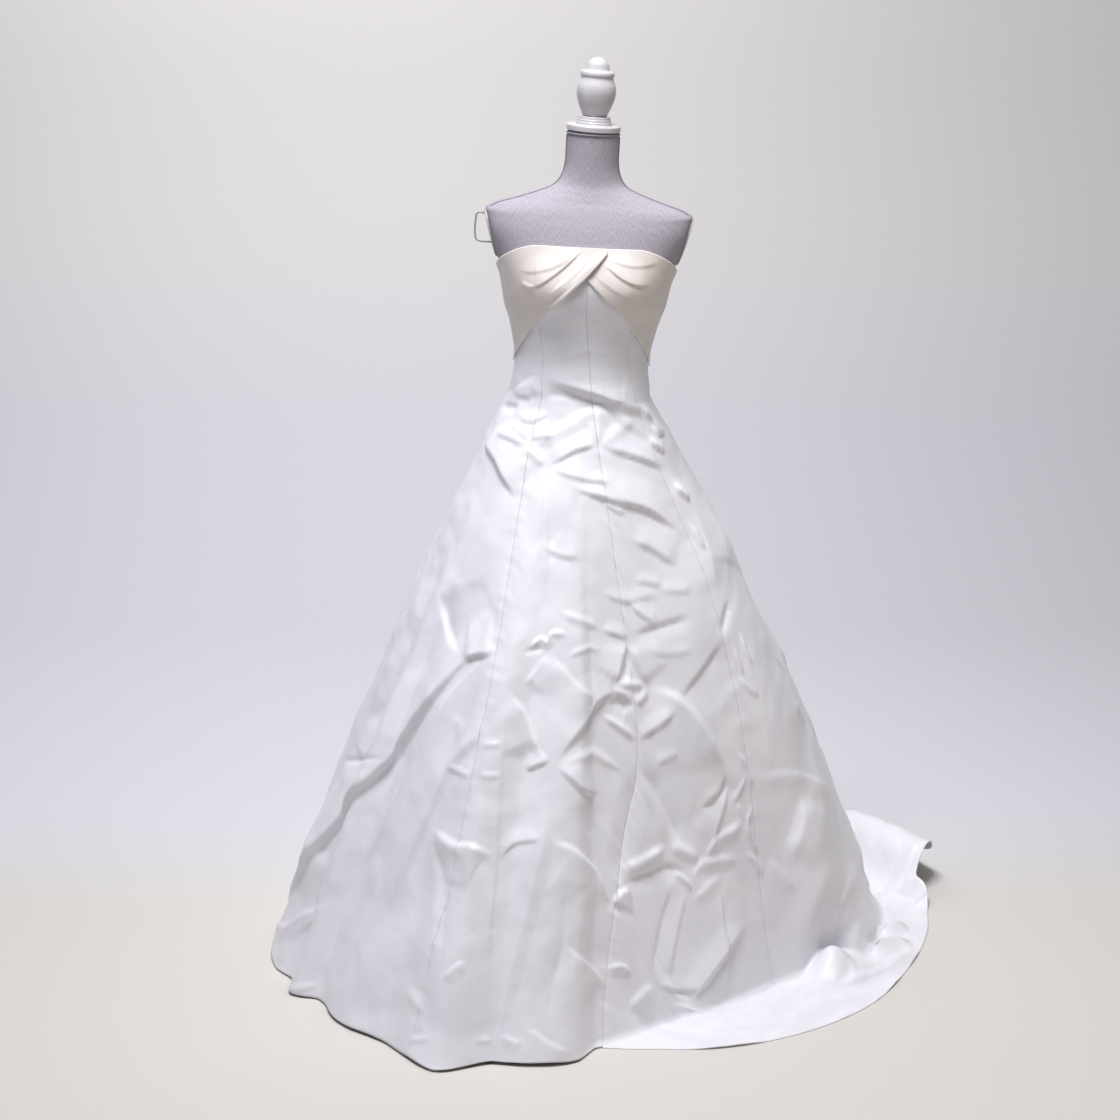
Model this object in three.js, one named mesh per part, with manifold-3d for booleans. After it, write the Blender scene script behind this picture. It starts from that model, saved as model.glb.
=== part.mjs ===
// A strapless wedding dress in heavy satin, standing on a limbless dress form.
// Millimetres, +Z up, +X to the viewer's right, +Y to the back. The origin is the
// middle of the stand's underside. An azimuth is in degrees from straight ahead (-Y),
// positive towards +X. The floor is z = 0.
import * as THREE from "three";
import Module from "manifold-3d";
import { mergeVertices } from "three/addons/utils/BufferGeometryUtils.js";

const wasm = await Module();
wasm.setup();
const DEG = Math.PI / 180;

// Driving sizes of the gown
const CLOTH = 2; // satin with its interlining
const GAP = 0.3; // between pieces that touch
const FORM_EASE = 2.5; // from the form to the inside of the bodice
const TOP_EDGE = 1323; // the top edge at the front
const TOP_EDGE_DIP = 50; // how far it has dropped at the sides
const TOP_EDGE_BACK_DIP = 8; // and from there to the centre back
const TOP_EDGE_TURNS = { front: 44, side: 94, back: 172 }; // azimuths where it dips
const CONE_TOP = 1050; // just under the waist the skirt leaves the form as a cone
const FLOOR_TURN = 50; // radius where the skirt turns onto the floor
const TURN_SHARE = 0.7; // the most of a short train's length that the turn takes
const TRAINED = { from: 20, to: 160 }; // hem past foot: no train, a full train
const COLUMN_SHARE = 0.66; // share of a train's rows that stay on the cone
const BODY_ROWS = 13;
const SKIRT_ROWS = 16;

// Driving sizes of the dress form
const LEAN = 2.8 * DEG; // the form leans to the viewer's right
const LEAN_HEIGHT = 730; // about this height
const TORSO_BOTTOM = 700;
const POLE_GAP = 1; // between the pole's top and the torso
const NECK_TOP = 1513;
const ARM_PLANE = { x: 155.5, z: 1284, slope: 0.285, from: 1270 }; // the flat that cuts each shoulder
const PROBE = { turn: 0.6, step: 0.006 }; // degrees and rows, for finding a surface's normal
const MERGE = 1e-4; // points nearer than this are one
const TORSO_COLUMNS = 36;
const TORSO_ROW = 40;

// Turns rows of numbers into rows with named columns.
function table(names, rows) {
  const columns = names.split(" ");
  return rows.map((row) => Object.fromEntries(columns.map((name, i) => [name, row[i]])));
}

// Horizontal sections of the form, in its own upright frame.
const FORM_SECTIONS = table("z half front back power", [
  [TORSO_BOTTOM, 118, 82, 88, 2.2],
  [760, 150, 100, 108, 2.2],
  [840, 162, 110, 120, 2.2],
  [920, 157, 108, 116, 2.2],
  [1000, 139, 98, 98, 2.2],
  [1060, 121, 89, 84, 2.2],
  [1115, 114.5, 86, 78, 2.2],
  [1170, 124, 93, 83, 2.2],
  [1220, 139, 106, 90, 2.2],
  [1255, 146, 112, 95, 2.2],
  [1284, 157, 108, 98, 2.2],
  [1320, 174, 97, 99, 2.2],
  [1350, 184, 86, 92, 2.2],
  [1372, 184, 75, 83, 2.2],
  [1384, 165, 68, 76, 2.2],
  [1394, 132, 61, 69, 2.1],
  [1403, 104, 56, 62, 2.1],
  [1411, 82, 52, 56, 2],
  [1421, 63, 48, 51, 2],
  [1434, 53, 46, 48, 2],
  [1456, 46.5, 45, 46, 2],
  [1485, 45.5, 45, 45, 2],
  [NECK_TOP, 45.5, 45.5, 45.5, 2],
]);
const CUPS = { azimuth: 31, spread: 21, z: 1245, reach: 45, depth: 11 };

// Where the skirt meets the floor, where its hem lies, and how far the cone bows out.
// Its waves are the gown's big upright folds, deepest at the hem.
const FLOOR = table("azimuth foot hem bow", [
  [-180, 600, 1050, 8],
  [-165, 655, 1000, 14],
  [-150, 604, 870, 10],
  [-135, 622, 715, 16],
  [-120, 572, 604, 14],
  [-108, 556, 570, 18],
  [-97, 545, 558, 18],
  [-90, 556, 566, 20],
  [-74, 572, 582, 20],
  [-67, 556, 566, 14],
  [-61, 580, 588, 18],
  [-56, 546, 553, 12],
  [-46, 566, 573, 14],
  [-35, 570, 578, 12],
  [-28, 600, 608, 16],
  [-22, 618, 628, 16],
  [-14, 560, 570, 10],
  [-4, 556, 564, 14],
  [1, 538, 552, 14],
  [5, 486, 513, 8],
  [14, 452, 508, 10],
  [28, 424, 553, 14],
  [45, 428, 595, 22],
  [60, 455, 626, 32],
  [74, 538, 645, 40],
  [90, 590, 684, 36],
  [101, 612, 714, 30],
  [110, 600, 762, 22],
  [120, 628, 798, 18],
  [135, 590, 846, 12],
  [150, 660, 950, 16],
  [165, 610, 1030, 10],
]);

// The stiff roll in the train, like a pipe lying on the floor with its mouth at the hem.
const ROLL = { mouthX: 722, mouthY: 203, inX: 500, inY: 505, half: 92, height: 90, fade: 0.4,
  arch: 1.5, coneFrom: 220, coneTo: 20 };

// The seams' azimuths down the gown: row 0 is the top edge, 1 the hip line, 2 the hem.
const SEAM_NAMES = ["centre_front", "front_right", "side_right", "back_right",
  "centre_back", "back_left", "side_left", "front_left"];
const SEAMS = table("row " + SEAM_NAMES.join(" "), [
  [0, 0, 34, 90, 140, 180, 220, 270, 326],
  [0.45, 2, 43, 90, 140, 180, 220, 270, 317],
  [0.8, 9, 52, 91, 140, 180, 220, 270, 318],
  [1, 13, 57, 92, 140, 180, 221, 271, 320],
  [1.2, 19, 63, 93, 140, 179, 222, 271, 328],
  [1.4, 22, 60, 95, 138, 176, 222, 272, 333],
  [1.6, 15, 56.5, 97, 136, 172, 220, 272, 334],
  [1.8, 9, 57, 99, 134, 170, 214, 272, 333],
  [2, 6, 58, 100, 133, 168, 210, 272, 332],
]);
const PANELS = table("name from to columns", [
  ["side_front_left", "side_left", "front_left", 10],
  ["centre_front_left", "front_left", "centre_front", 8],
  ["centre_front_right", "centre_front", "front_right", 9],
  ["side_front_right", "front_right", "side_right", 7],
  ["side_back_right", "side_right", "back_right", 16],
  ["centre_back_right", "back_right", "centre_back", 7],
  ["centre_back_left", "centre_back", "back_left", 8],
  ["side_back_left", "back_left", "side_left", 9],
]);

// The drapes over the bust: the height of their lower edges, in the form's frame.
const LEFT_DRAPE_EDGE = table("azimuth z", [
  [-90, 1102], [-70, 1132], [-53, 1168], [-37, 1202], [-24, 1225], [-14, 1248],
  [-2, 1270], [12, 1300], [17, 1312],
]);
const RIGHT_DRAPE_EDGE = table("azimuth z", [
  [-9, 1282], [-2, 1273], [10, 1251], [21, 1228], [37, 1198], [52, 1167], [72, 1130], [90, 1102],
]);
const BUST_DEGREE = 2.3; // millimetres round the bust for each degree
const CUT_STEPS = 30; // points along the curve
const CUT_RADII = [230, 60]; // and how far out and in it cuts
const CUT_TOP = 1345;
const DRAPE_BODY_ROWS = 11; // body rows that reach below a drape's lower edge
// The left drape rises over the right one between these azimuths, and the right one's
// pleats begin clear of it.
const CROSSING = { from: -26, to: -11, pleatsFrom: 19, pleatsTo: 31 };
// Soft pleats pressed into the drapes, each a ridge between two points.
const PLEATS = table("azimuth1 z1 azimuth2 z2 width height", [
  [-46, 1262, -8, 1312, 10, 4],
  [-58, 1288, -26, 1314, 9, 3],
  [12, 1296, 48, 1258, 10, 4],
  [16, 1304, 58, 1298, 9, 3],
]);

// The neck cap's and the finial's turned outlines: height above the neck and radius.
const CAP_OUTLINE = table("z r", [
  [0, 0], [0, 44], [1.5, 47.5], [10, 47.5], [12, 45], [12, 32], [16, 32], [16.5, 31],
  [16.5, 30], [20.5, 30], [21, 29], [21, 28], [25, 28], [26, 26], [26, 0],
]);
const FINIAL_OUTLINE = table("z r", [
  [0, 0], [0, 21], [3, 22.5], [10, 26], [24, 32], [40, 35], [52, 34], [62, 29.5], [66, 28.5],
  [68, 29], [70, 30], [74, 30], [77, 28.5], [78, 22], [82, 20.5], [90, 18.5], [96, 13.5],
  [100, 6], [101, 0],
]);
const CAP_TILT = 1.2 * DEG; // the cap sits a little more aslant than the neck
const CAP_RIM = 47.5; // it tips on its rim
const TURNED_SIDES = 24;
const POLE_RADIUS = 14;
const BASE = { radius: 150, thickness: 10, edge: 2 };
const ARM_PLATE = { thickness: 4, halfHigh: 45, halfDeep: 33, z: 1331, sides: 28, edge: 1 };
const ARM_LOOP = { radius: 1.6, reach: 21, top: 1362, low: 1312 };
// Its bends: how far in from the loop's outer side, and the height.
const LOOP_BENDS = table("in z", [
  [7, ARM_LOOP.top + 2], [1, ARM_LOOP.top - 2], [0, ARM_LOOP.top - 8],
  [0, ARM_LOOP.low + 10], [2, ARM_LOOP.low + 4], [8, ARM_LOOP.low + 1],
]);
const ZIP = { below: 14, wide: 5.5, high: 9, thick: 2.4, behind: 0.4, axis: 1.4,
  ringIn: 1.6, ringOut: 2.6, ringWide: 1.3 };
const PULL = { half: 2.5, long: 22, barHalf: 0.6, straight: 6, tipHalf: 1.75, tip: 1.5,
  slotHalf: 1.4, slotLong: 4.8 };

const SATIN = { color: 0xefebe6, roughness: 0.45, metalness: 0 };
const LINEN = { color: 0xb9b3bf, roughness: 0.95, metalness: 0 };
const PAINT = { color: 0xe4e1e2, roughness: 0.35, metalness: 0 };
const METAL = { color: 0xc9c9c9, roughness: 0.3, metalness: 1 };

const gown = new THREE.Group();

// A cubic through the rows of a table that never overshoots them. With a period the
// first row follows the last.
function along(rows, key, column, x, period = 0) {
  const count = rows.length;
  const at = (i) => {
    if (!period) {
      const row = rows[Math.min(Math.max(i, 0), count - 1)];
      return [row[key], row[column]];
    }
    const turn = Math.floor(i / count);
    const row = rows[i - turn * count];
    return [row[key] + turn * period, row[column]];
  };
  if (period) {
    x = rows[0][key] + ((((x - rows[0][key]) % period) + period) % period);
  } else if (x <= rows[0][key]) {
    return rows[0][column];
  } else if (x >= rows[count - 1][key]) {
    return rows[count - 1][column];
  }
  let i = 0;
  while (at(i + 1)[0] < x) {
    i += 1;
  }
  const [[xa, ya], [x0, y0], [x1, y1], [xb, yb]] = [at(i - 1), at(i), at(i + 1), at(i + 2)];
  const step = x1 - x0;
  const slope = (y1 - y0) / step;
  const limit = (m) => (m * slope <= 0 ? 0 : Math.sign(slope) * Math.min(Math.abs(m), 3 * Math.abs(slope)));
  const m0 = xa < x0 ? limit((y1 - ya) / (x1 - xa)) : slope;
  const m1 = xb > x1 ? limit((yb - y0) / (xb - x0)) : slope;
  const t = (x - x0) / step;
  return (2 * t ** 3 - 3 * t * t + 1) * y0 + (t ** 3 - 2 * t * t + t) * step * m0
    + (-2 * t ** 3 + 3 * t * t) * y1 + (t ** 3 - t * t) * step * m1;
}

// 0 below a, 1 above b, smooth between.
function ease(a, b, x) {
  const t = Math.min(Math.max((x - a) / (b - a), 0), 1);
  return t * t * (3 - 2 * t);
}

// An azimuth brought between -180 and 180.
function wrap(azimuth) {
  return ((((azimuth + 180) % 360) + 360) % 360) - 180;
}

// Radius of a rounded section, a superellipse, at an azimuth.
function sectionRadius(azimuth, { half, front, back, power }) {
  const side = Math.abs(Math.sin(azimuth * DEG)) / half;
  const ahead = Math.cos(azimuth * DEG);
  const depth = Math.abs(ahead) / (ahead > 0 ? front : back);
  return (side ** power + depth ** power) ** (-1 / power);
}

function formRadius(azimuth, z) {
  const section = {};
  for (const column of ["half", "front", "back", "power"]) {
    section[column] = along(FORM_SECTIONS, "z", column, z);
  }
  const rise = Math.exp(-(((z - CUPS.z) / CUPS.reach) ** 2)) * CUPS.depth;
  let cup = 0;
  for (const side of [-1, 1]) {
    cup += rise * Math.exp(-(((wrap(azimuth) - side * CUPS.azimuth) / CUPS.spread) ** 2));
  }
  return sectionRadius(azimuth, section) + cup;
}

// The flat that the arm plate covers, as the furthest x at a height.
function armPlane(z) {
  return ARM_PLANE.x + (z - ARM_PLANE.z) * ARM_PLANE.slope;
}

// From the form's upright frame to the room: the form leans.
function leaning(x, y, z) {
  const up = z - LEAN_HEIGHT;
  return new THREE.Vector3(
    x * Math.cos(LEAN) + up * Math.sin(LEAN), y, LEAN_HEIGHT - x * Math.sin(LEAN) + up * Math.cos(LEAN));
}

function aroundForm(azimuth, radius, z) {
  return leaning(radius * Math.sin(azimuth * DEG), -radius * Math.cos(azimuth * DEG), z);
}

function topEdge(azimuth) {
  const turn = Math.abs(wrap(azimuth));
  const { front, side, back } = TOP_EDGE_TURNS;
  return TOP_EDGE - TOP_EDGE_DIP * ease(front, side, turn) - TOP_EDGE_BACK_DIP * ease(side, back, turn);
}

// The inside of the bodice at a height in the form's frame.
function bodicePoint(azimuth, z) {
  return aroundForm(azimuth, formRadius(azimuth, z) + FORM_EASE, z);
}

// The roll's height over a point of the floor.
function rollHeight(x, y) {
  const long = Math.hypot(ROLL.inX - ROLL.mouthX, ROLL.inY - ROLL.mouthY);
  const alongX = (ROLL.inX - ROLL.mouthX) / long;
  const alongY = (ROLL.inY - ROLL.mouthY) / long;
  const far = ((x - ROLL.mouthX) * alongX + (y - ROLL.mouthY) * alongY) / long;
  const aside = (x - ROLL.mouthX) * alongY - (y - ROLL.mouthY) * alongX;
  if (Math.abs(aside) >= ROLL.half || far > 1) {
    return 0;
  }
  const arch = Math.cos((Math.PI / 2) * (aside / ROLL.half)) ** ROLL.arch;
  return ROLL.height * arch * (1 - ease(1 - ROLL.fade, 1, far));
}

// The inside of the skirt: a slanted line from the hip, bowed out, a round turn, the floor.
function skirtPoint(azimuth, share) {
  const start = bodicePoint(azimuth, CONE_TOP);
  const foot = along(FLOOR, "azimuth", "foot", azimuth, 360);
  const hem = along(FLOOR, "azimuth", "hem", azimuth, 360);
  const bow = along(FLOOR, "azimuth", "bow", azimuth, 360);
  const dirX = Math.sin(azimuth * DEG);
  const dirY = -Math.cos(azimuth * DEG);
  const outX = foot * dirX - start.x;
  const outY = foot * dirY - start.y;
  const run = Math.hypot(outX, outY);
  const slant = Math.hypot(run, start.z);
  const pitch = Math.atan2(start.z, run);
  const radius = Math.min(FLOOR_TURN, (TURN_SHARE * (hem - foot)) / Math.tan(pitch / 2));
  const cut = radius * Math.tan(pitch / 2);
  const cone = slant - cut;
  const turn = radius * pitch;
  const flat = hem - foot - cut;
  const total = cone + turn + flat;
  // Rows crowd onto the floor where there is a train.
  const trained = ease(TRAINED.from, TRAINED.to, hem - foot);
  const split = share < COLUMN_SHARE ? (share / COLUMN_SHARE) * cone
    : cone + ((share - COLUMN_SHARE) / (1 - COLUMN_SHARE)) * (turn + flat);
  let rest = share * total + (split - share * total) * trained;
  let across;
  let z;
  if (rest <= cone) {
    const bowed = bow * Math.sin((Math.PI * rest) / cone);
    across = rest * Math.cos(pitch) + bowed * Math.sin(pitch);
    z = start.z - rest * Math.sin(pitch) + bowed * Math.cos(pitch);
  } else if (rest <= cone + turn) {
    const left = pitch - (rest - cone) / radius;
    across = cone * Math.cos(pitch) + radius * (Math.sin(pitch) - Math.sin(left));
    z = radius * (1 - Math.cos(left));
  } else {
    rest -= cone + turn;
    const x = foot * dirX + dirX * (cut + rest);
    const y = foot * dirY + dirY * (cut + rest);
    return new THREE.Vector3(x, y, rollHeight(x, y));
  }
  const x = start.x + (outX / run) * across;
  const y = start.y + (outY / run) * across;
  return new THREE.Vector3(x, y, z + rollHeight(x, y) * ease(ROLL.coneFrom, ROLL.coneTo, z));
}

// The inside of the gown: row 0 is the top edge, 1 the hip line, 2 the hem.
function gownPoint(azimuth, row) {
  if (row < 1) {
    const top = topEdge(azimuth);
    return bodicePoint(azimuth, top + (CONE_TOP - top) * row);
  }
  return skirtPoint(azimuth, row - 1);
}

// The tangent across and the outward normal of a surface given by (azimuth, row).
function directions(surface, azimuth, row) {
  const { turn, step } = PROBE;
  const across = surface(azimuth + turn, row).sub(surface(azimuth - turn, row)).normalize();
  const down = surface(azimuth, row + step).sub(surface(azimuth, row - step)).normalize();
  return { across, normal: new THREE.Vector3().crossVectors(down, across).normalize() };
}

// A closed body between two grids of points. Both are lists of rows.
function wall(outer, inner) {
  const rows = outer.length;
  const columns = outer[0].length;
  const positions = [];
  for (const grid of [outer, inner]) {
    for (const row of grid) {
      for (const point of row) {
        positions.push(point.x, point.y, point.z);
      }
    }
  }
  const index = [];
  const id = (side, i, j) => side * rows * columns + i * columns + j;
  const quad = (a, b, c, d) => index.push(a, b, c, a, c, d);
  for (let i = 0; i < rows - 1; i += 1) {
    for (let j = 0; j < columns - 1; j += 1) {
      // Both faces of the cloth are split along the quad's shorter diagonal.
      const falling = outer[i][j].distanceTo(outer[i + 1][j + 1]);
      const rising = outer[i + 1][j].distanceTo(outer[i][j + 1]);
      const corners = [[i, j], [i + 1, j], [i + 1, j + 1], [i, j + 1]];
      if (rising < falling) {
        corners.push(corners.shift());
      }
      quad(...corners.map(([k, l]) => id(0, k, l)));
      quad(...[corners[0], corners[3], corners[2], corners[1]].map(([k, l]) => id(1, k, l)));
    }
  }
  for (let j = 0; j < columns - 1; j += 1) {
    quad(id(0, 0, j), id(0, 0, j + 1), id(1, 0, j + 1), id(1, 0, j));
    quad(id(0, rows - 1, j), id(1, rows - 1, j), id(1, rows - 1, j + 1), id(0, rows - 1, j + 1));
  }
  for (let i = 0; i < rows - 1; i += 1) {
    quad(id(0, i, 0), id(1, i, 0), id(1, i + 1, 0), id(0, i + 1, 0));
    quad(id(0, i, columns - 1), id(0, i + 1, columns - 1), id(1, i + 1, columns - 1), id(1, i, columns - 1));
  }
  return solid(positions, index);
}

// A closed body through rings with the same number of points, with flat ends.
function loft(rings) {
  const count = rings[0].length;
  const positions = [];
  for (const ring of rings) {
    for (const point of ring) {
      positions.push(point.x, point.y, point.z);
    }
  }
  const index = [];
  for (let i = 0; i < rings.length - 1; i += 1) {
    for (let j = 0; j < count; j += 1) {
      const next = (j + 1) % count;
      const [a, b] = [i * count + j, i * count + next];
      index.push(a, b, b + count, a, b + count, a + count);
    }
  }
  for (const [ring, turned] of [[0, true], [rings.length - 1, false]]) {
    const middle = rings[ring].reduce((sum, p) => sum.add(p), new THREE.Vector3()).divideScalar(count);
    const centre = positions.length / 3;
    positions.push(middle.x, middle.y, middle.z);
    for (let j = 0; j < count; j += 1) {
      const [a, b] = [ring * count + j, ring * count + ((j + 1) % count)];
      index.push(centre, ...(turned ? [b, a] : [a, b]));
    }
  }
  return solid(positions, index);
}

// A geometry whose faces point outwards.
function solid(positions, index) {
  const geometry = new THREE.BufferGeometry();
  geometry.setAttribute("position", new THREE.Float32BufferAttribute(positions, 3));
  let volume = 0;
  const [a, b, c] = [new THREE.Vector3(), new THREE.Vector3(), new THREE.Vector3()];
  for (let i = 0; i < index.length; i += 3) {
    a.fromArray(positions, index[i] * 3);
    b.fromArray(positions, index[i + 1] * 3);
    c.fromArray(positions, index[i + 2] * 3);
    volume += a.dot(b.cross(c));
  }
  if (volume < 0) {
    index = index.map((_, i) => index[i - (i % 3) + [0, 2, 1][i % 3]]);
  }
  geometry.setIndex(index);
  geometry.computeVertexNormals();
  return geometry;
}

function add(name, geometry, finish) {
  const mesh = new THREE.Mesh(geometry, new THREE.MeshStandardMaterial(finish));
  mesh.name = name;
  gown.add(mesh);
  return mesh;
}

// A closed geometry as a body that can be joined and cut.
function body(geometry) {
  const bare = geometry.clone();
  bare.deleteAttribute("normal");
  bare.deleteAttribute("uv");
  const merged = mergeVertices(bare, MERGE);
  return new wasm.Manifold(new wasm.Mesh({
    numProp: 3,
    vertProperties: new Float32Array(merged.attributes.position.array),
    triVerts: new Uint32Array(merged.index.array),
  }));
}

function geometryOf(joined) {
  const { vertProperties, triVerts } = joined.getMesh();
  return solid(Array.from(vertProperties), Array.from(triVerts));
}

function union(parts) {
  return geometryOf(parts.map(body).reduce((sum, part) => sum.add(part)));
}

function meet(first, second) {
  return geometryOf(body(first).intersect(body(second)));
}

// The azimuth of one of a panel's columns at a row.
function columnAzimuth({ from, to, columns }, column, row) {
  const first = along(SEAMS, "row", from, row);
  const last = along(SEAMS, "row", to, row);
  const width = last > first ? last - first : last + 360 - first;
  return first + (width * column) / columns;
}

// One panel of the gown, cut between two seams.
function panel(piece) {
  const outer = [];
  const inner = [];
  for (let i = 0; i <= BODY_ROWS + SKIRT_ROWS; i += 1) {
    const row = i < BODY_ROWS ? i / BODY_ROWS : 1 + (i - BODY_ROWS) / SKIRT_ROWS;
    outer.push([]);
    inner.push([]);
    for (let j = 0; j <= piece.columns; j += 1) {
      const azimuth = columnAzimuth(piece, j, row);
      const point = gownPoint(azimuth, row);
      const { across, normal } = directions(gownPoint, azimuth, row);
      const inset = j === 0 ? GAP / 2 : j === piece.columns ? -GAP / 2 : 0;
      point.addScaledVector(across, inset);
      point.z = Math.max(point.z, 0);
      inner[i].push(point);
      outer[i].push(point.clone().addScaledVector(normal, CLOTH));
    }
  }
  add(piece.name, wall(outer, inner), SATIN);
}

// How far the pleats raise a drape at a point.
function pleatHeight(azimuth, z) {
  let height = 0;
  for (const pleat of PLEATS) {
    const longX = (pleat.azimuth2 - pleat.azimuth1) * BUST_DEGREE;
    const longZ = pleat.z2 - pleat.z1;
    const x = (azimuth - pleat.azimuth1) * BUST_DEGREE;
    const dz = z - pleat.z1;
    const share = Math.min(Math.max((x * longX + dz * longZ) / (longX ** 2 + longZ ** 2), 0), 1);
    const off = Math.hypot(x - share * longX, dz - share * longZ);
    height += pleat.height * Math.exp(-((off / pleat.width) ** 2));
  }
  return height;
}

// A drape lies on the panels: their points, moved out, and out again over a lower drape.
// Its lower edge is cut along a curve.
function drape(name, under, edge, rise, pleated) {
  const outer = [];
  const inner = [];
  for (let i = 0; i <= DRAPE_BODY_ROWS; i += 1) {
    const row = i / BODY_ROWS;
    outer.push([]);
    inner.push([]);
    for (const piece of PANELS.filter((row) => under.includes(row.name))) {
      const skipped = outer[i].length ? 1 : 0;
      for (let j = skipped; j <= piece.columns; j += 1) {
        const azimuth = wrap(columnAzimuth(piece, j, row));
        const top = topEdge(azimuth);
        const z = top + (CONE_TOP - top) * row;
        const point = gownPoint(azimuth, row);
        const { normal } = directions(gownPoint, azimuth, row);
        const lift = CLOTH + GAP + rise(azimuth);
        const pleat = pleatHeight(azimuth, z) * pleated(azimuth);
        inner[i].push(point.clone().addScaledVector(normal, lift));
        outer[i].push(point.clone().addScaledVector(normal, lift + CLOTH + pleat));
      }
    }
  }
  const first = edge[0].azimuth;
  const last = edge[edge.length - 1].azimuth;
  const cutter = [[[], []], [[], []]];
  for (let k = 0; k <= CUT_STEPS; k += 1) {
    const azimuth = first + ((last - first) * k) / CUT_STEPS;
    const low = along(edge, "azimuth", "z", azimuth);
    CUT_RADII.forEach((radius, side) => {
      cutter[side][0].push(aroundForm(azimuth, radius, CUT_TOP));
      cutter[side][1].push(aroundForm(azimuth, radius, low));
    });
  }
  add(name, meet(wall(outer, inner), wall(cutter[0], cutter[1])), SATIN);
}

// The form's padded body, cut flat at the shoulders for the arm plates.
function torso() {
  const heights = [];
  for (let i = 0; i < FORM_SECTIONS.length - 1; i += 1) {
    const [low, high] = [FORM_SECTIONS[i].z, FORM_SECTIONS[i + 1].z];
    const steps = Math.max(1, Math.round((high - low) / TORSO_ROW));
    for (let k = 0; k < steps; k += 1) {
      heights.push(low + ((high - low) * k) / steps);
    }
  }
  heights.push(NECK_TOP);
  const rings = heights.map((z) => {
    const ring = [];
    for (let j = 0; j < TORSO_COLUMNS; j += 1) {
      const azimuth = (j * 360) / TORSO_COLUMNS;
      const radius = formRadius(azimuth, z);
      const reach = z < ARM_PLANE.from ? radius : armPlane(z);
      const x = Math.min(Math.max(radius * Math.sin(azimuth * DEG), -reach), reach);
      ring.push(leaning(x, -radius * Math.cos(azimuth * DEG), z));
    }
    return ring;
  });
  add("torso", loft(rings), LINEN);
}

// An oval plate that closes each arm, lying along the shoulder's flat.
function armPlate(name, side) {
  const tilt = Math.atan(ARM_PLANE.slope);
  const rings = [GAP, GAP + ARM_PLATE.thickness - ARM_PLATE.edge, GAP + ARM_PLATE.thickness].map((off, layer) => {
    const ring = [];
    const shrink = layer === 2 ? ARM_PLATE.edge : 0;
    for (let j = 0; j < ARM_PLATE.sides; j += 1) {
      const turn = (j * 2 * Math.PI) / ARM_PLATE.sides;
      const up = (ARM_PLATE.halfHigh - shrink) * Math.sin(turn);
      const deep = (ARM_PLATE.halfDeep - shrink) * Math.cos(turn);
      const x = armPlane(ARM_PLATE.z) + up * Math.sin(tilt) + off * Math.cos(tilt);
      const z = ARM_PLATE.z + up * Math.cos(tilt) - off * Math.sin(tilt);
      ring.push(leaning(side * x, deep, z));
    }
    return ring;
  });
  add(name, loft(rings), PAINT);
}

// The bent wire that stands out from the arm plate on the viewer's left, a lopsided
// square with round corners.
function armLoop() {
  const off = 2 * GAP + ARM_PLATE.thickness + ARM_LOOP.radius;
  const near = (z) => -armPlane(z) - off;
  const far = near(ARM_LOOP.top) - ARM_LOOP.reach + off;
  const bends = [
    leaning(near(ARM_LOOP.top), 0, ARM_LOOP.top),
    ...LOOP_BENDS.map((bend) => leaning(far + bend.in, 0, bend.z)),
    leaning(near(ARM_LOOP.low), 0, ARM_LOOP.low),
  ];
  const curve = new THREE.CatmullRomCurve3(bends, false, "centripetal");
  const round = new THREE.Shape();
  round.absarc(0, 0, ARM_LOOP.radius, 0, 2 * Math.PI);
  const tube = new THREE.ExtrudeGeometry(round, { steps: 24, extrudePath: curve, curveSegments: 4 });
  add("arm_loop", union([tube]), PAINT);
}

// A turned piece: its outline spun about its own axis, then set on the leaning neck.
function turned(name, outline, height) {
  const points = outline.map(({ r, z }) => new THREE.Vector2(r, z));
  const rings = points.filter(({ x }) => x > 0).map(({ x: radius, y: z }) => {
    const ring = [];
    for (let j = 0; j < TURNED_SIDES; j += 1) {
      const turn = (j * 2 * Math.PI) / TURNED_SIDES;
      const x = radius * Math.cos(turn);
      const up = height + z;
      const over = up - NECK_TOP;
      const tilted = x * Math.cos(CAP_TILT) + over * Math.sin(CAP_TILT);
      const raised = NECK_TOP + over * Math.cos(CAP_TILT) + (CAP_RIM - x) * Math.sin(CAP_TILT);
      ring.push(leaning(tilted, radius * Math.sin(turn), raised));
    }
    return ring;
  });
  add(name, loft(rings), PAINT);
}

function upright(name, outline, finish) {
  const rings = outline.map(([radius, z]) => {
    const ring = [];
    for (let j = 0; j < TURNED_SIDES; j += 1) {
      const turn = (j * 2 * Math.PI) / TURNED_SIDES;
      ring.push(new THREE.Vector3(radius * Math.cos(turn), radius * Math.sin(turn), z));
    }
    return ring;
  });
  add(name, loft(rings), finish);
}

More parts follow.
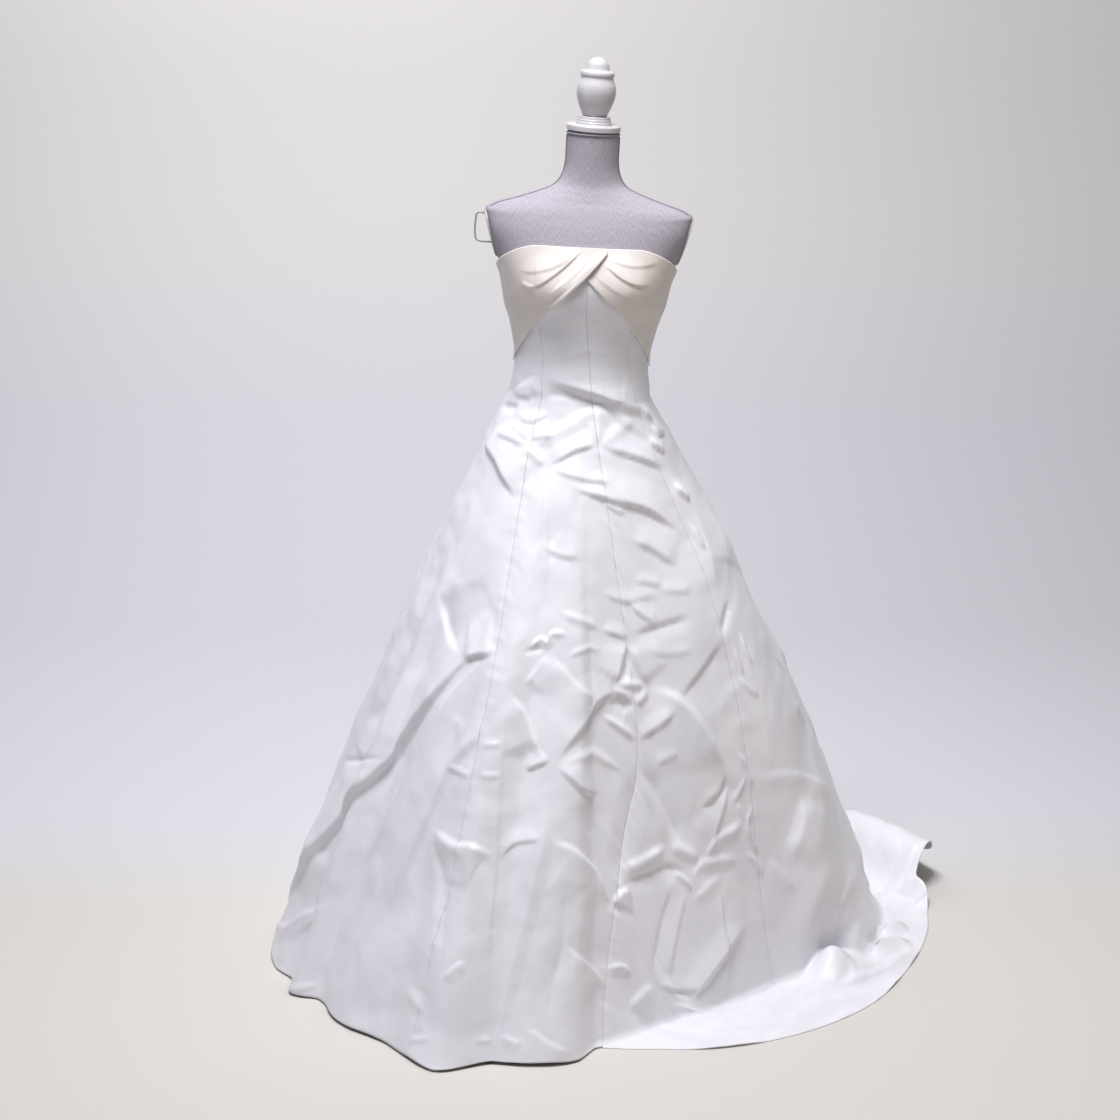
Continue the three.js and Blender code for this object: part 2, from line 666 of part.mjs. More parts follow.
// The slider with its bail, and the pull tab that swings on the bail, at the centre back.
function zip() {
  const z = topEdge(180) - ZIP.below;
  const row = (topEdge(180) - z) / (topEdge(180) - CONE_TOP);
  const seat = bodicePoint(180, z);
  const { normal } = directions(gownPoint, 180, row);
  const frame = new THREE.Group();
  frame.position.copy(seat).addScaledVector(normal, CLOTH + GAP);
  frame.rotation.y = LEAN;
  gown.add(frame);
  const block = new THREE.BoxGeometry(ZIP.wide, ZIP.thick, ZIP.high);
  block.translate(0, ZIP.thick / 2 + ZIP.behind, 0);
  const hinge = ZIP.thick + ZIP.behind + ZIP.axis;
  const ring = new THREE.Shape();
  ring.absarc(0, 0, ZIP.ringOut, 0, 2 * Math.PI);
  const hole = new THREE.Path();
  hole.absarc(0, 0, ZIP.ringIn, 0, 2 * Math.PI);
  ring.holes.push(hole);
  const bailShape = { depth: ZIP.ringWide, bevelEnabled: false, curveSegments: 10 };
  const bail = new THREE.ExtrudeGeometry(ring, bailShape);
  bail.translate(0, 0, -ZIP.ringWide / 2);
  bail.rotateY(Math.PI / 2);
  bail.translate(0, hinge, 0);
  const slider = new THREE.Mesh(union([block, bail]), new THREE.MeshStandardMaterial(METAL));
  slider.name = "zip_slider";
  frame.add(slider);
  const tab = new THREE.Shape();
  const { half, long, barHalf: bar, straight, tipHalf, tip, slotHalf, slotLong } = PULL;
  tab.moveTo(-half, bar);
  tab.lineTo(-half, -straight);
  tab.lineTo(-tipHalf, tip - long);
  tab.lineTo(0, -long);
  tab.lineTo(tipHalf, tip - long);
  tab.lineTo(half, -straight);
  tab.lineTo(half, bar);
  const slot = new THREE.Path();
  slot.moveTo(-slotHalf, -bar);
  slot.lineTo(slotHalf, -bar);
  slot.lineTo(slotHalf, -slotLong);
  slot.lineTo(-slotHalf, -slotLong);
  tab.holes.push(slot);
  const pull = new THREE.ExtrudeGeometry(tab, { depth: 2 * bar, bevelEnabled: false });
  pull.translate(0, 0, -bar);
  pull.rotateX(Math.PI / 2);
  const zipPull = new THREE.Mesh(union([pull]), new THREE.MeshStandardMaterial(METAL));
  zipPull.name = "zip_pull";
  zipPull.position.y = hinge;
  frame.add(zipPull);
}

PANELS.forEach(panel);
const leftHalf = ["side_front_left", "centre_front_left"];
const rightHalf = ["centre_front_right", "side_front_right"];
drape("drape_left", [...leftHalf, "centre_front_right"], LEFT_DRAPE_EDGE,
  (azimuth) => (CLOTH + GAP) * ease(CROSSING.from, CROSSING.to, azimuth), () => 1);
drape("drape_right", ["centre_front_left", ...rightHalf], RIGHT_DRAPE_EDGE,
  () => 0, (azimuth) => ease(CROSSING.pleatsFrom, CROSSING.pleatsTo, azimuth));
zip();
torso();
armPlate("arm_plate_left", -1);
armPlate("arm_plate_right", 1);
armLoop();
turned("neck_cap", CAP_OUTLINE, NECK_TOP + GAP);
turned("finial", FINIAL_OUTLINE, NECK_TOP + 2 * GAP + CAP_OUTLINE[CAP_OUTLINE.length - 1].z);
upright("pole", [[POLE_RADIUS, BASE.thickness], [POLE_RADIUS, TORSO_BOTTOM - POLE_GAP]], PAINT);
upright("base_disc", [
  [BASE.radius - BASE.edge, 0], [BASE.radius, BASE.edge],
  [BASE.radius, BASE.thickness - BASE.edge], [BASE.radius - BASE.edge, BASE.thickness]], PAINT);

export default gown;
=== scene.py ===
"""A strapless satin wedding dress on a limbless dress form, in a plain studio.

Lengths in the tables are millimetres and the scene is in metres. +Z is up and +X is to
the viewer's right. An azimuth is in degrees from straight ahead (-Y), positive towards
+X. A panel's rows run from 0 at the top edge over 1 at the hip to 2 at the hem.
"""
import math

import bmesh
import bpy
import numpy as np
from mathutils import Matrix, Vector


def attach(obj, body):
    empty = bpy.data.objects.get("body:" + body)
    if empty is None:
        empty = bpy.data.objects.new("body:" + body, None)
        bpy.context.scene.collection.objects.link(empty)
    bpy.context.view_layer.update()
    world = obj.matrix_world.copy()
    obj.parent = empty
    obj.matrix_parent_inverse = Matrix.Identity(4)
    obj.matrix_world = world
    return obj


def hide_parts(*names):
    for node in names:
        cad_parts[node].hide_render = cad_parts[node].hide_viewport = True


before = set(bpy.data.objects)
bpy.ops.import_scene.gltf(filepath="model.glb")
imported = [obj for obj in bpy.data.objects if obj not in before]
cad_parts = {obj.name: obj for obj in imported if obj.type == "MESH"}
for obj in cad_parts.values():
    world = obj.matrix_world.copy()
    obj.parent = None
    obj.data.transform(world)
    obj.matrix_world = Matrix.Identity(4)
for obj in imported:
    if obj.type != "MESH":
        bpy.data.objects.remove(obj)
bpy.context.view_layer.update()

bl_info = {
    "name": "Satin gown on a dress form",
    "version": (1, 0, 0),
    "blender": (4, 5, 0),
    "location": "View3D > Sidebar > Gown",
    "description": "Builds a satin gown with a train, its dress form and a plain studio",
    "category": "Add Mesh",
}

MM = 0.001
BODY = "dress"

# Driving sizes of the gown, the same as the frame's
CLOTH = 2.0
GAP = 0.3
FORM_EASE = 2.5
TOP_EDGE = 1323.0
TOP_EDGE_DIP = 50.0
TOP_EDGE_BACK_DIP = 8.0
TOP_EDGE_TURNS = (44, 94, 172)
CONE_TOP = 1050.0
FLOOR_TURN = 20.0  # radius at the floor, tighter than the solid's, because satin folds sharply
TURN_SHARE = 0.7  # of the cloth on the floor, the most that the turn may take
TRAINED = (20, 160)  # cloth on the floor, over which the rows crowd onto it
COLUMN_SHARE = 0.66  # of the rows, those on the slanted skirt where there is a train
LEAN = math.radians(2.8)
LEAN_HEIGHT = 730.0
PROBE_TURN = 0.6  # degrees to each side, to find a tangent
PROBE_STEP = 0.006  # rows up and down, to find a tangent
TORSO_BOTTOM = 700.0
NECK_TOP = 1513.0
ARM_PLANE = {"x": 155.5, "z": 1284.0, "slope": 0.285, "from": 1270.0}
CUPS = {"azimuth": 31, "spread": 21, "z": 1245, "reach": 45, "depth": 11}
ROLL = {"mouth": (722.0, 203.0), "inner": (500.0, 505.0), "half": 92.0, "height": 90.0,
        "fade": 0.4, "arch": 1.5, "cone_from": 220.0, "cone_to": 20.0}


def table(names, rows):
    """Rows of numbers as one array for each named column."""
    return dict(zip(names.split(), np.array(rows, float).T))


FORM_SECTIONS = table("z half front back power", [
    (TORSO_BOTTOM, 118, 82, 88, 2.2),
    (760, 150, 100, 108, 2.2),
    (840, 162, 110, 120, 2.2),
    (920, 157, 108, 116, 2.2),
    (1000, 139, 98, 98, 2.2),
    (1060, 121, 89, 84, 2.2),
    (1115, 114.5, 86, 78, 2.2),
    (1170, 124, 93, 83, 2.2),
    (1220, 139, 106, 90, 2.2),
    (1255, 146, 112, 95, 2.2),
    (1284, 157, 108, 98, 2.2),
    (1320, 174, 97, 99, 2.2),
    (1350, 184, 86, 92, 2.2),
    (1372, 184, 75, 83, 2.2),
    (1384, 165, 68, 76, 2.2),
    (1394, 132, 61, 69, 2.1),
    (1403, 104, 56, 62, 2.1),
    (1411, 82, 52, 56, 2),
    (1421, 63, 48, 51, 2),
    (1434, 53, 46, 48, 2),
    (1456, 46.5, 45, 46, 2),
    (1485, 45.5, 45, 45, 2),
    (NECK_TOP, 45.5, 45.5, 45.5, 2),
])

# Where the skirt meets the floor, where its hem lies and how far the cone bows out
FLOOR = table("azimuth foot hem bow", [
    (-180, 600, 1050, 8), (-165, 655, 1000, 14), (-150, 604, 870, 10), (-135, 622, 715, 16),
    (-120, 572, 604, 14), (-108, 556, 570, 18), (-97, 545, 558, 18), (-90, 556, 566, 20),
    (-74, 572, 582, 20), (-67, 556, 566, 14), (-61, 580, 588, 18), (-56, 546, 553, 12),
    (-46, 566, 573, 14), (-35, 570, 578, 12), (-28, 600, 608, 16), (-22, 618, 628, 16),
    (-14, 560, 570, 10), (-4, 556, 564, 14), (1, 538, 552, 14), (5, 486, 513, 8),
    (14, 452, 508, 10), (28, 424, 553, 14), (45, 428, 595, 22), (60, 455, 626, 32),
    (74, 538, 645, 40), (90, 590, 684, 36), (101, 612, 714, 30), (110, 600, 762, 22),
    (120, 628, 798, 18), (135, 590, 846, 12), (150, 660, 950, 16), (165, 610, 1030, 10),
])

# The seams' azimuths down the gown
SEAMS = table(
    "row centre_front front_right side_right back_right centre_back back_left side_left front_left", [
        (0, 0, 34, 90, 140, 180, 220, 270, 326),
        (0.45, 2, 43, 90, 140, 180, 220, 270, 317),
        (0.8, 9, 52, 91, 140, 180, 220, 270, 318),
        (1, 13, 57, 92, 140, 180, 221, 271, 320),
        (1.2, 19, 63, 93, 140, 179, 222, 271, 328),
        (1.4, 22, 60, 95, 138, 176, 222, 272, 333),
        (1.6, 15, 56.5, 97, 136, 172, 220, 272, 334),
        (1.8, 9, 57, 99, 134, 170, 214, 272, 333),
        (2, 6, 58, 100, 133, 168, 210, 272, 332),
    ])
# Each panel's seams on the viewer's left and right, and the faces of its fine grid
PANELS = [
    ("side_front_left", "side_left", "front_left", 108, 288),
    ("centre_front_left", "front_left", "centre_front", 120, 348),
    ("centre_front_right", "centre_front", "front_right", 126, 346),
    ("side_front_right", "front_right", "side_right", 100, 288),
    ("side_back_right", "side_right", "back_right", 100, 220),
    ("centre_back_right", "back_right", "centre_back", 60, 200),
    ("centre_back_left", "centre_back", "back_left", 64, 200),
    ("side_back_left", "back_left", "side_left", 76, 190),
]

BODY_SHARE = 0.19  # share of a panel's fine rows above the hip
SEAM_COLUMNS = (0.0, 1.3, 3.0, 5.5)  # the fine grid's first columns beside a seam
SEAM_GROOVE = 0.7  # depth of the groove along a seam
SEAM_WIDTH = 2.4
SEAM_PUCKER = 0.8  # height of the small waves along a seam
SEAM_REACH = 16.0
SEAM_WAVES = (23.0, 37.0, 61.0)  # their lengths
SEAM_FROM = 0.55  # the row where they begin to run
SEAM_START = (0, 0.1)  # rows in which a seam comes to show
SEAM_ABOVE = 0.3  # share of the waves and the groove that shows over the hip
SEAM_FULL = (0.85, 1.1)  # rows in which all of it comes to show
ROW_MM = 1150.0  # one row from the hip to the front hem
CONE_TIP = 304.0  # from the hip up to the skirt's cone's tip
CONE_SINE = 0.395  # of the cone's half angle
DEGREE_MM = 8.0  # a degree round the skirt, for spacing a crease's points
DRAPE_DEGREE = 2.3  # a degree round the bust
DRAPE_LENGTH = 0.2  # metres, at the side where it is longest
# A drape's lower edge is turned under and stands off: height and width of the fold, then
# of the dip along it, and the share of a height that is across the slanted edge
DRAPE_FOLD = (1.3, 9)
DRAPE_DIP = (0.7, 1.2)
DRAPE_SLANT = 0.8
DRAPE_DEEPEST = 0.2
CREASE_STEP = 4.0
CREASE_FADE = 0.3  # share of a crease's length that it takes to rise at each end
CREASE_POWER = 1.2  # 1 is a roof, more is a sharper crest
CREST = 0.6  # radius of a crest
# The hem at the roll is cut back in front and long behind, so that the roll's mouth shows:
# azimuth, width, mm
MOUTH = ((104, 2.2, -22), (110, 2.5, 12))
# Where the skirt's foot is tucked back or stands forward: x, width, how far back
TUCK = {"y": -150.0, "deep": 130.0, "high": 75.0, "lying": 75.0, "folds": ((480, 38, 55), (556, 34, -18))}
# The train's soft hump before the skirt
MOUND = {"x": 482.0, "y": -178.0, "radius": 46.0, "height": 46.0}
# How high the hem hangs over the floor, as the sum of waves: mm, turn for each degree
HEM_WAVES = ((3.5, 0.0), (1.5, 0.21), (1.2, 0.53))
HEM_LOWEST = 2
TRAIN_BEGINS = (16, 60)  # cloth on the floor, mm
CREASE_GAIN = 1.3  # all creases' height against the height in the tables
STEEPER = 0.65  # a crease's steep side against the width that it seems to have
BROADER = 1.8  # and its broad side, which fades into the flat cloth
NARROW = 0.4  # a crease's width at its ends, as a share
BACK_RISE = 34.0  # how far a mirrored crease may move up or down
BACK_STEP = 2.4  # turn of the wave that says how far, from one crease to the next
BACK_TURN = 185.0  # the azimuth that a crease straight ahead is mirrored to
BACK_CHANGE = 0.2  # share by which its height may change
FOLDS_BEGIN = (0.08, 0.62)  # rows under the hip
FOLD_TURN = 24.0  # degrees over which the floor table is smoothed
CHUNK = 4000  # points of the cloth compared with a crease at once
TINY = 1e-9  # keeps a length from being 0
CRUSH_CELLS = ((120, 1.3), (52, 0.5), (24, 0.18))  # their size in mm and their share of the height
CELL_STRETCH = 1.3  # how much longer than wide a crushed facet is
FACET_EDGE = 4.0  # more is a sharper edge between two facets
CRUSH_FROM = (0.75, 1.05)  # rows in which the crushing comes to show
CRUSH_SIDES = (56, 75)  # turns from ahead in which it grows
CRUSH_MORE = 0.5  # by this share
BODICE_ROWS = (1.0, 0.85)  # from the loose cloth of the skirt to the close bodice
BODICE_CALM = 0.5  # share that a crease loses on the bodice
BODICE_DEEPEST = 0.5  # how far a trough may press in on the bodice
SKIRT_DEEPEST = 60
CAP_TILT = math.radians(1.2)
CAP_RIM = 47.5
CAP_HEIGHT = 26.0
# The turned outlines: height over the neck, radius
CAP_OUTLINE = [
    (0, 0), (0, 44), (1.5, 47.5), (10, 47.5), (12, 45), (12, 32), (16, 32), (16.5, 31),
    (16.5, 30), (20.5, 30), (21, 29), (21, 28), (25, 28), (26, 26), (26, 0)]
FINIAL_OUTLINE = [
    (0, 0), (0, 21), (3, 22.5), (10, 26), (24, 32), (40, 35), (52, 34), (62, 29.5), (66, 28.5),
    (68, 29), (70, 30), (74, 30), (77, 28.5), (78, 22), (82, 20.5), (90, 18.5), (96, 13.5),
    (100, 6), (101, 0)]
PIPING = {"azimuth": 84.0, "radius": 1.3, "out": 0.6,
          "heights": (1507.0, 1485.0, 1456.0, 1434.0, 1421.0, 1411.0, 1403.0, 1394.0, 1384.0, 1378.0)}
ARM_PLATE = {"thickness": 4.0, "half_high": 45.0, "half_deep": 33.0, "z": 1331.0}
ARM_LOOP = {"radius": 1.6, "reach": 21.0, "top": 1362.0, "low": 1312.0}
# The wire loop's bends: how far in from its outer side, and the height
LOOP_BENDS = [
    (7, ARM_LOOP["top"] + 2), (1, ARM_LOOP["top"] - 2), (0, ARM_LOOP["top"] - 8),
    (0, ARM_LOOP["low"] + 10), (2, ARM_LOOP["low"] + 4), (8, ARM_LOOP["low"] + 1)]
IMAGE_SIZE = 1120
SENSOR = 36.0
CAMERA = {"place": (-0.02, -4.30, 1.95), "pitch": 15.77, "focal": 2440.0}
# The sweep's bands, in Y+Z: the floor colour turns to the cooler, duller wall colour, which is painted shade,
# then to the warmer, brighter upper wall colour, which is painted light.
SWEEP = {"half": 6.0, "front": -7.0, "bend": 1.9, "radius": 1.4, "height": 4.0,
         "light_and_shade_bands": ((0.0, 0.7), (3.1, 4.3))}
WORLD_COLOUR = "#e9e6e5"
WORLD_STRENGTH = 0.21
EXPOSURE = 0.0
PAINT_GRAIN = "#bcb9bd"
# The arm plates' and the wire loop's enamel is grey: painted shade on white enamel.
PLATE_ENAMEL_PAINTED_SHADE = ("#a9a6a9", "#98959a")
POLE_ENAMEL = ("#d9d7d8", "#e9e7e7")
NICKEL = "#c9c8c4"
# Soft lights: name, place, what it points at, size, power, colour
LIGHTS = [
    ("overhead_softbox", (-0.15, -0.8, 3.7), (0.0, -0.2, 0.4), (1.3, 1.1), 118.0, "#fbfbff"),
    ("cool_fill", (-4.0, -2.4, 1.3), (0.0, 0.0, 0.6), (2.0, 2.0), 13.0, "#ccd6ff"),
    ("warm_return", (3.6, -1.6, 1.4), (0.0, 0.0, 0.6), (2.0, 2.0), 7.0, "#ffeedd"),
    ("wall_softbox", (-0.8, 1.5, 2.9), (-0.6, 3.3, 1.35), (1.5, 1.2), 27.0, "#fffdfa"),
]

# Creases, each a ridge or, with a height below 0, a trough: its name, its height, how far
# it falls away above or to the right of its run and below or to the left, then the run as
# points (azimuth, height over the floor), where a height below 0 is a distance past the foot.
SKIRT_CREASES = [
    # waist and hip
    ("waist_fold", 8, 28, 26, [(-45, 1095), (-32, 1091), (-7, 1079), (21, 1063), (43, 1044),
                               (59, 1028), (66, 1001)]),
    ("waist_hollow", -3, 20, 26, [(-46, 1079), (-12, 1066), (21, 1048), (36, 1011), (55, 978), (67, 947)]),
    ("waist_facet", 3, 14, 18, [(-52, 1049), (-22, 1049), (19, 1044)]),
    ("waist_star_1", 3, 18, 18, [(19, 1044), (-17, 1001), (-38, 973)]),
    ("waist_star_2", 3, 20, 20, [(19, 1044), (16, 980)]),
    ("waist_star_3", 4, 8, 24, [(16, 980), (-4, 971), (-21, 948)]),
    ("waist_star_4", 5, 26, 10, [(16, 976), (27, 970), (48, 951), (63, 928)]),
    ("waist_star_5", 3, 16, 16, [(16, 976), (35, 1001), (52, 1018)]),
    ("waist_star_6", 3, 14, 14, [(-40, 974), (-23, 946)]),
    ("waist_left_1", 4, 16, 8, [(-67, 984), (-55, 984), (-40, 974)]),
    ("waist_left_2", 3, 16, 7, [(-40, 988), (-20, 996)]),
    ("waist_left_3", 3, 12, 7, [(-59, 1004), (-48, 996), (-39, 984)]),
    ("waist_left_4", 3, 12, 6, [(-68, 1050), (-48, 1052)]),
    ("waist_left_5", 3, 12, 6, [(-58, 1025), (-44, 1015), (-29, 1030)]),
    ("waist_left_6", 3, 8, 14, [(-76, 1050), (-61, 1071), (-45, 1095)]),
    ("waist_left_7", -4, 8, 10, [(-80, 1032), (-58, 1036)]),
    ("hip_left", 7, 40, 14, [(-79, 966), (-61, 950), (-48, 922), (-36, 890)]),
    ("hip_1", 3, 20, 8, [(-20, 942), (1, 925), (24, 914)]),
    ("hip_2", 6, 30, 12, [(-8, 914), (7, 900), (24, 885), (43, 866), (60, 820)]),
    ("hip_3", 3, 25, 14, [(-17, 818), (-9, 805), (2, 797)]),
    ("hip_4", 4, 30, 14, [(29, 819), (41, 801), (52, 764)]),
    ("hip_right_1", 5, 12, 8, [(60, 1033), (68, 1008), (68, 988)]),
    ("hip_right_2", 5, 12, 8, [(62, 989), (78, 984)]),
    ("hip_right_3", 5, 12, 8, [(56, 977), (68, 953)]),
    ("hip_right_4", 5, 14, 10, [(64, 896), (71, 865)]),
    ("hip_right_5", 4, 10, 10, [(66, 828), (67, 782)]),
    # ripples across the centre front seam
    ("ripple_1", 2.5, 10, 6, [(28, 750), (35, 744), (43, 734)]),
    ("ripple_2", 2.5, 12, 8, [(10, 737), (23, 718), (31, 721), (41, 719)]),
    ("ripple_3", 3, 14, 6, [(24, 715), (30, 691), (36, 671)]),
    ("ripple_4", -3.5, 10, 14, [(23, 658), (34, 666), (44, 672), (53, 677)]),
    ("ripple_5", 3, 12, 6, [(10, 676), (17, 665), (23, 656)]),
    ("ripple_6", 2.5, 12, 12, [(-7, 712), (1, 697), (10, 676)]),
    ("ripple_7", 2, 12, 8, [(28, 631), (39, 621), (50, 619)]),
    ("ripple_8", 2, 8, 8, [(-4, 640), (3, 650), (10, 638)]),
    ("ripple_9", 2.5, 10, 8, [(14, 886), (22, 871), (30, 861)]),
    ("ripple_10", 2, 12, 8, [(39, 729), (56, 718)]),
    ("zigzag", 4, 7, 8, [(-17.6, 654), (-13.3, 668), (-10.6, 664), (-9, 678), (-2.6, 677)]),
    ("zigzag_under", -2, 8, 8, [(-19, 648), (-11, 654)]),
    ("kite_left", 3, 25, 14, [(-10, 644), (-13, 618), (-17, 594)]),
    ("kite_right", 3, 14, 30, [(-9.5, 645), (-4, 613), (6, 559)]),
    # the puckered diamond on the centre front seam
    ("diamond_1", 5, 14, 25, [(21.5, 648), (17.4, 614), (13.8, 581)]),
    ("diamond_2", -4, 12, 12, [(21.4, 645), (19.5, 609), (18, 580)]),
    ("diamond_3", 5, 30, 20, [(22.5, 648), (25.5, 609), (28.3, 572)]),
    ("diamond_4", 4, 10, 10, [(13.8, 581), (18.9, 581), (28.3, 572)]),
    ("diamond_5", 4, 12, 12, [(13.7, 578), (17.6, 564), (21.4, 544)]),
    ("diamond_6", 4, 12, 12, [(28.2, 570), (25.2, 555), (21.4, 544)]),
    # the tents under it
    ("tent_left", 7, 18, 32, [(17, 573), (10.8, 568), (4.8, 552), (-1.1, 513), (-5.1, 479)]),
    ("tent_hollow", -4, 20, 24, [(10.9, 550), (18.6, 552), (21.7, 539)]),
    ("tent_right", 8, 25, 45, [(28, 567), (34, 556), (39, 538), (44, 504), (48, 459), (52, 406)]),
    ("chevron_left", 4, 10, 10, [(8.5, 537), (15, 513), (21.6, 486)]),
    ("chevron_right", 4, 14, 10, [(21.6, 486), (29.8, 504), (37.4, 526)]),
    ("arc_end", -5, 20, 10, [(52, 401), (50, 374), (46, 358), (41, 348)]),
    ("arc_drop", 5, 14, 30, [(52.5, 379), (47.7, 333), (42.1, 274)]),
    ("seam_valley", -4, 30, 30, [(20.6, 441), (17.4, 384), (13.6, 306), (11.2, 243)]),
    ("sail", -6, 45, 25, [(21.4, 439), (25.2, 406), (28.6, 368), (32, 322), (35.9, 276)]),
    ("sail_edge", 3, 22, 30, [(21.9, 430), (26.3, 375), (27.6, 323), (28.9, 294)]),
    ("tick", 2, 10, 8, [(27, 439), (32, 446), (37, 454)]),
    ("blot", 5, 30, 12, [(-5.3, 471), (-1.4, 451), (2.8, 421), (7.6, 406)]),
    ("bow_arc", 2.5, 12, 12, [(-4, 474), (3, 480), (10, 458), (16, 435)]),
    # the left tent
    ("peak_left", 6, 22, 50, [(-20.5, 586), (-23.6, 568), (-25.9, 542), (-27, 514), (-31, 476),
                              (-34.6, 427), (-38.4, 342), (-40, 269), (-41, 194)]),
    ("peak_right", 6, 14, 34, [(-20.5, 586), (-16.9, 556), (-13.5, 520), (-9.7, 483)]),
    ("peak_foot", 4, 14, 8, [(-14, 461), (-10.6, 470), (-6.8, 480)]),
    ("pressed_left", 2, 8, 12, [(-20.4, 582), (-19.6, 504), (-18.3, 398), (-17.5, 322),
                                (-17, 209), (-16, 101)]),
    ("pressed_mid", 2, 10, 10, [(-22, 938), (-16.5, 824), (-13, 718)]),
    ("side_tick_1", 3, 8, 8, [(-34, 452), (-29.5, 453), (-25, 452)]),
    ("side_tick_2", 2, 8, 8, [(-24.6, 504), (-20, 507)]),
    ("side_tick_3", 2, 8, 8, [(-24, 458), (-19, 457)]),
    # the long folds at the left
    ("hollow_left", -6, 60, 14, [(-61, 716), (-53, 673), (-40.5, 628)]),
    ("shelf_left", 6, 45, 9, [(-40, 622), (-34, 634), (-26.7, 645)]),
    ("long_fold", 13, 14, 55, [(-26.5, 648), (-34.5, 634), (-39.5, 614), (-45, 564), (-51.5, 496),
                               (-57, 432), (-62, 360), (-69, 280), (-77, 170), (-86, 50)]),
    ("long_fold_right", 5, 22, 10, [(-30, 632), (-35, 606), (-40.5, 560), (-44.8, 490), (-48.5, 395),
                                    (-52, 310), (-57, 235)]),
    ("left_band", 3, 30, 12, [(-25, 552), (-30, 504), (-36, 405), (-39.5, 308), (-42.5, 205)]),
    ("left_tick_1", -3, 8, 8, [(-81.5, 372), (-69, 401), (-57, 432)]),
    ("left_tick_2", 4, 8, 16, [(-93, 8), (-76, 66), (-70, 111), (-62, 153), (-58, 168)]),
    ("left_tick_3", 2, 10, 10, [(-72, 37), (-70, 82), (-62, 149)]),
    ("left_tick_4", 3, 8, 8, [(-63, 4), (-57, 26)]),
    ("left_lip", 6, 14, 40, [(-35.6, 347), (-30.5, 344), (-27, 341), (-23, 346), (-20, 339), (-18, 322)]),
    ("left_drop", -5, 50, 35, [(-35, 330), (-30, 305), (-27, 251), (-24, 158)]),
    ("left_spark", 3, 8, 12, [(-23.7, 138), (-21.6, 160), (-19.8, 172)]),
    ("left_arc", 2, 20, 20, [(-21, 334), (-18, 257), (-17, 164)]),
    ("hem_left_1", 2, 8, 8, [(-28.6, 29), (-24, 47)]),
    ("hem_left_2", 2, 8, 8, [(-17, 40), (-14.4, 37)]),
    ("hem_left_3", 2.5, 14, 14, [(-31.5, 100), (-28.7, 90), (-26, 80)]),
    # the lower middle
    ("strip_1", 5, 30, 40, [(-7.2, 443), (-7.1, 357), (-9.5, 255), (-11.6, 161), (-13.2, 52), (-14, 21)]),
    ("strip_2", -4, 30, 30, [(-1.6, 302), (-2.1, 194), (-4, 117), (-5, 53)]),
    ("low_fold", 5, 10, 50, [(-2, 187), (0.4, 170), (3.8, 133), (8, 86)]),
    ("low_lip", 7, 16, 45, [(-6.3, 352), (-0.6, 335), (4.1, 291), (8.1, 239), (9.9, 218)]),
    ("low_beak", 6, 12, 30, [(9.9, 218), (12.3, 237), (16, 242)]),
    ("low_left_arc", 3, 12, 8, [(-16.8, 321), (-15.6, 340), (-13.5, 347), (-7, 355)]),
    ("hem_mid_1", 3, 8, 20, [(-9.2, 55), (-6.8, 51), (-4.9, 38), (0, 17)]),
    ("hem_mid_2", 2, 8, 10, [(-13, 45), (-10.8, 38), (-8.6, 35)]),
    ("wave_1", 6, 14, 16, [(12.7, 277), (19, 282), (25.5, 294), (28.7, 299)]),
    ("wave_2", 4, 16, 16, [(28.7, 299), (34.3, 281), (39, 263)]),
    ("wave_3", -4, 14, 20, [(12.4, 250), (18.7, 258), (27, 262), (35, 247)]),
    ("knot_1", 4, 8, 14, [(34.7, 232), (38.7, 255), (45.7, 255), (52.5, 245)]),
    ("knot_2", 4, 6, 6, [(29, 249), (32, 239), (35, 215)]),
    ("knot_3", 3, 8, 14, [(33.8, 194), (39.3, 214), (45.6, 229)]),
    ("knot_4", 5, 12, 14, [(40.4, 263), (45.2, 291), (51, 300), (55.3, 314)]),
    ("knot_5", 3, 8, 8, [(55, 311), (56.3, 275), (58.4, 242)]),
    ("knot_6", 3, 8, 8, [(53, 256), (57, 228), (58.3, 190)]),
    ("low_mark", 4, 8, 12, [(7.7, 120), (11.3, 120), (14.6, 102)]),
    ("low_strip_1", -3, 20, 14, [(29.6, 235), (24, 158), (19, 75)]),
    ("low_strip_2", 3, 12, 20, [(33, 222), (27.5, 135), (24.3, 66)]),
    ("low_tent", 5, 14, 30, [(12.8, 45), (17, 64), (20.8, 72)]),
    ("low_tent_top", 4, 14, 8, [(20.8, 72), (26.3, 55), (34, 40)]),
    ("low_tent_right", 5, 12, 30, [(23.8, 34), (29.9, 12), (33.5, -29), (36.3, -63)]),
    ("right_sweep", 7, 22, 10, [(30, 19), (33.6, 49), (41, 89), (46.6, 114), (51.7, 123)]),
    ("right_line", 3, 8, 20, [(43.8, 216), (42.6, 130), (41, 9)]),
    # the right side
    ("right_valley", -4, 40, 12, [(62.7, 626), (52, 583), (39.5, 538)]),
    ("right_valley_top", -4, 10, 10, [(70, 688), (65.7, 662), (62, 634)]),
    ("right_ridge", 6, 40, 40, [(62, 921), (70.6, 860), (69.6, 788), (65, 702)]),
    ("right_band", 3, 10, 20, [(59.4, 386), (64, 377), (70, 370), (76, 350), (89, 286)]),
    ("right_swell", 6, 45, 35, [(73, 324), (70, 267), (65, 218)]),
    ("right_tick_1", 3, 14, 20, [(60, 232), (63, 202), (66, 157)]),
    ("right_tick_2", 3, 8, 8, [(63.4, 560), (66, 534), (69, 515)]),
    ("right_tick_3", 3, 6, 6, [(64.7, 612), (65.4, 584), (65.3, 554)]),
    ("right_tick_4", 3, 6, 6, [(69.6, 633), (69, 597), (70, 568)]),
    ("right_tick_5", 3, 6, 6, [(56.4, 436), (59, 401), (59.6, 350)]),
    ("right_tick_6", 3, 6, 6, [(53.4, 347), (55, 318), (56.3, 294)]),
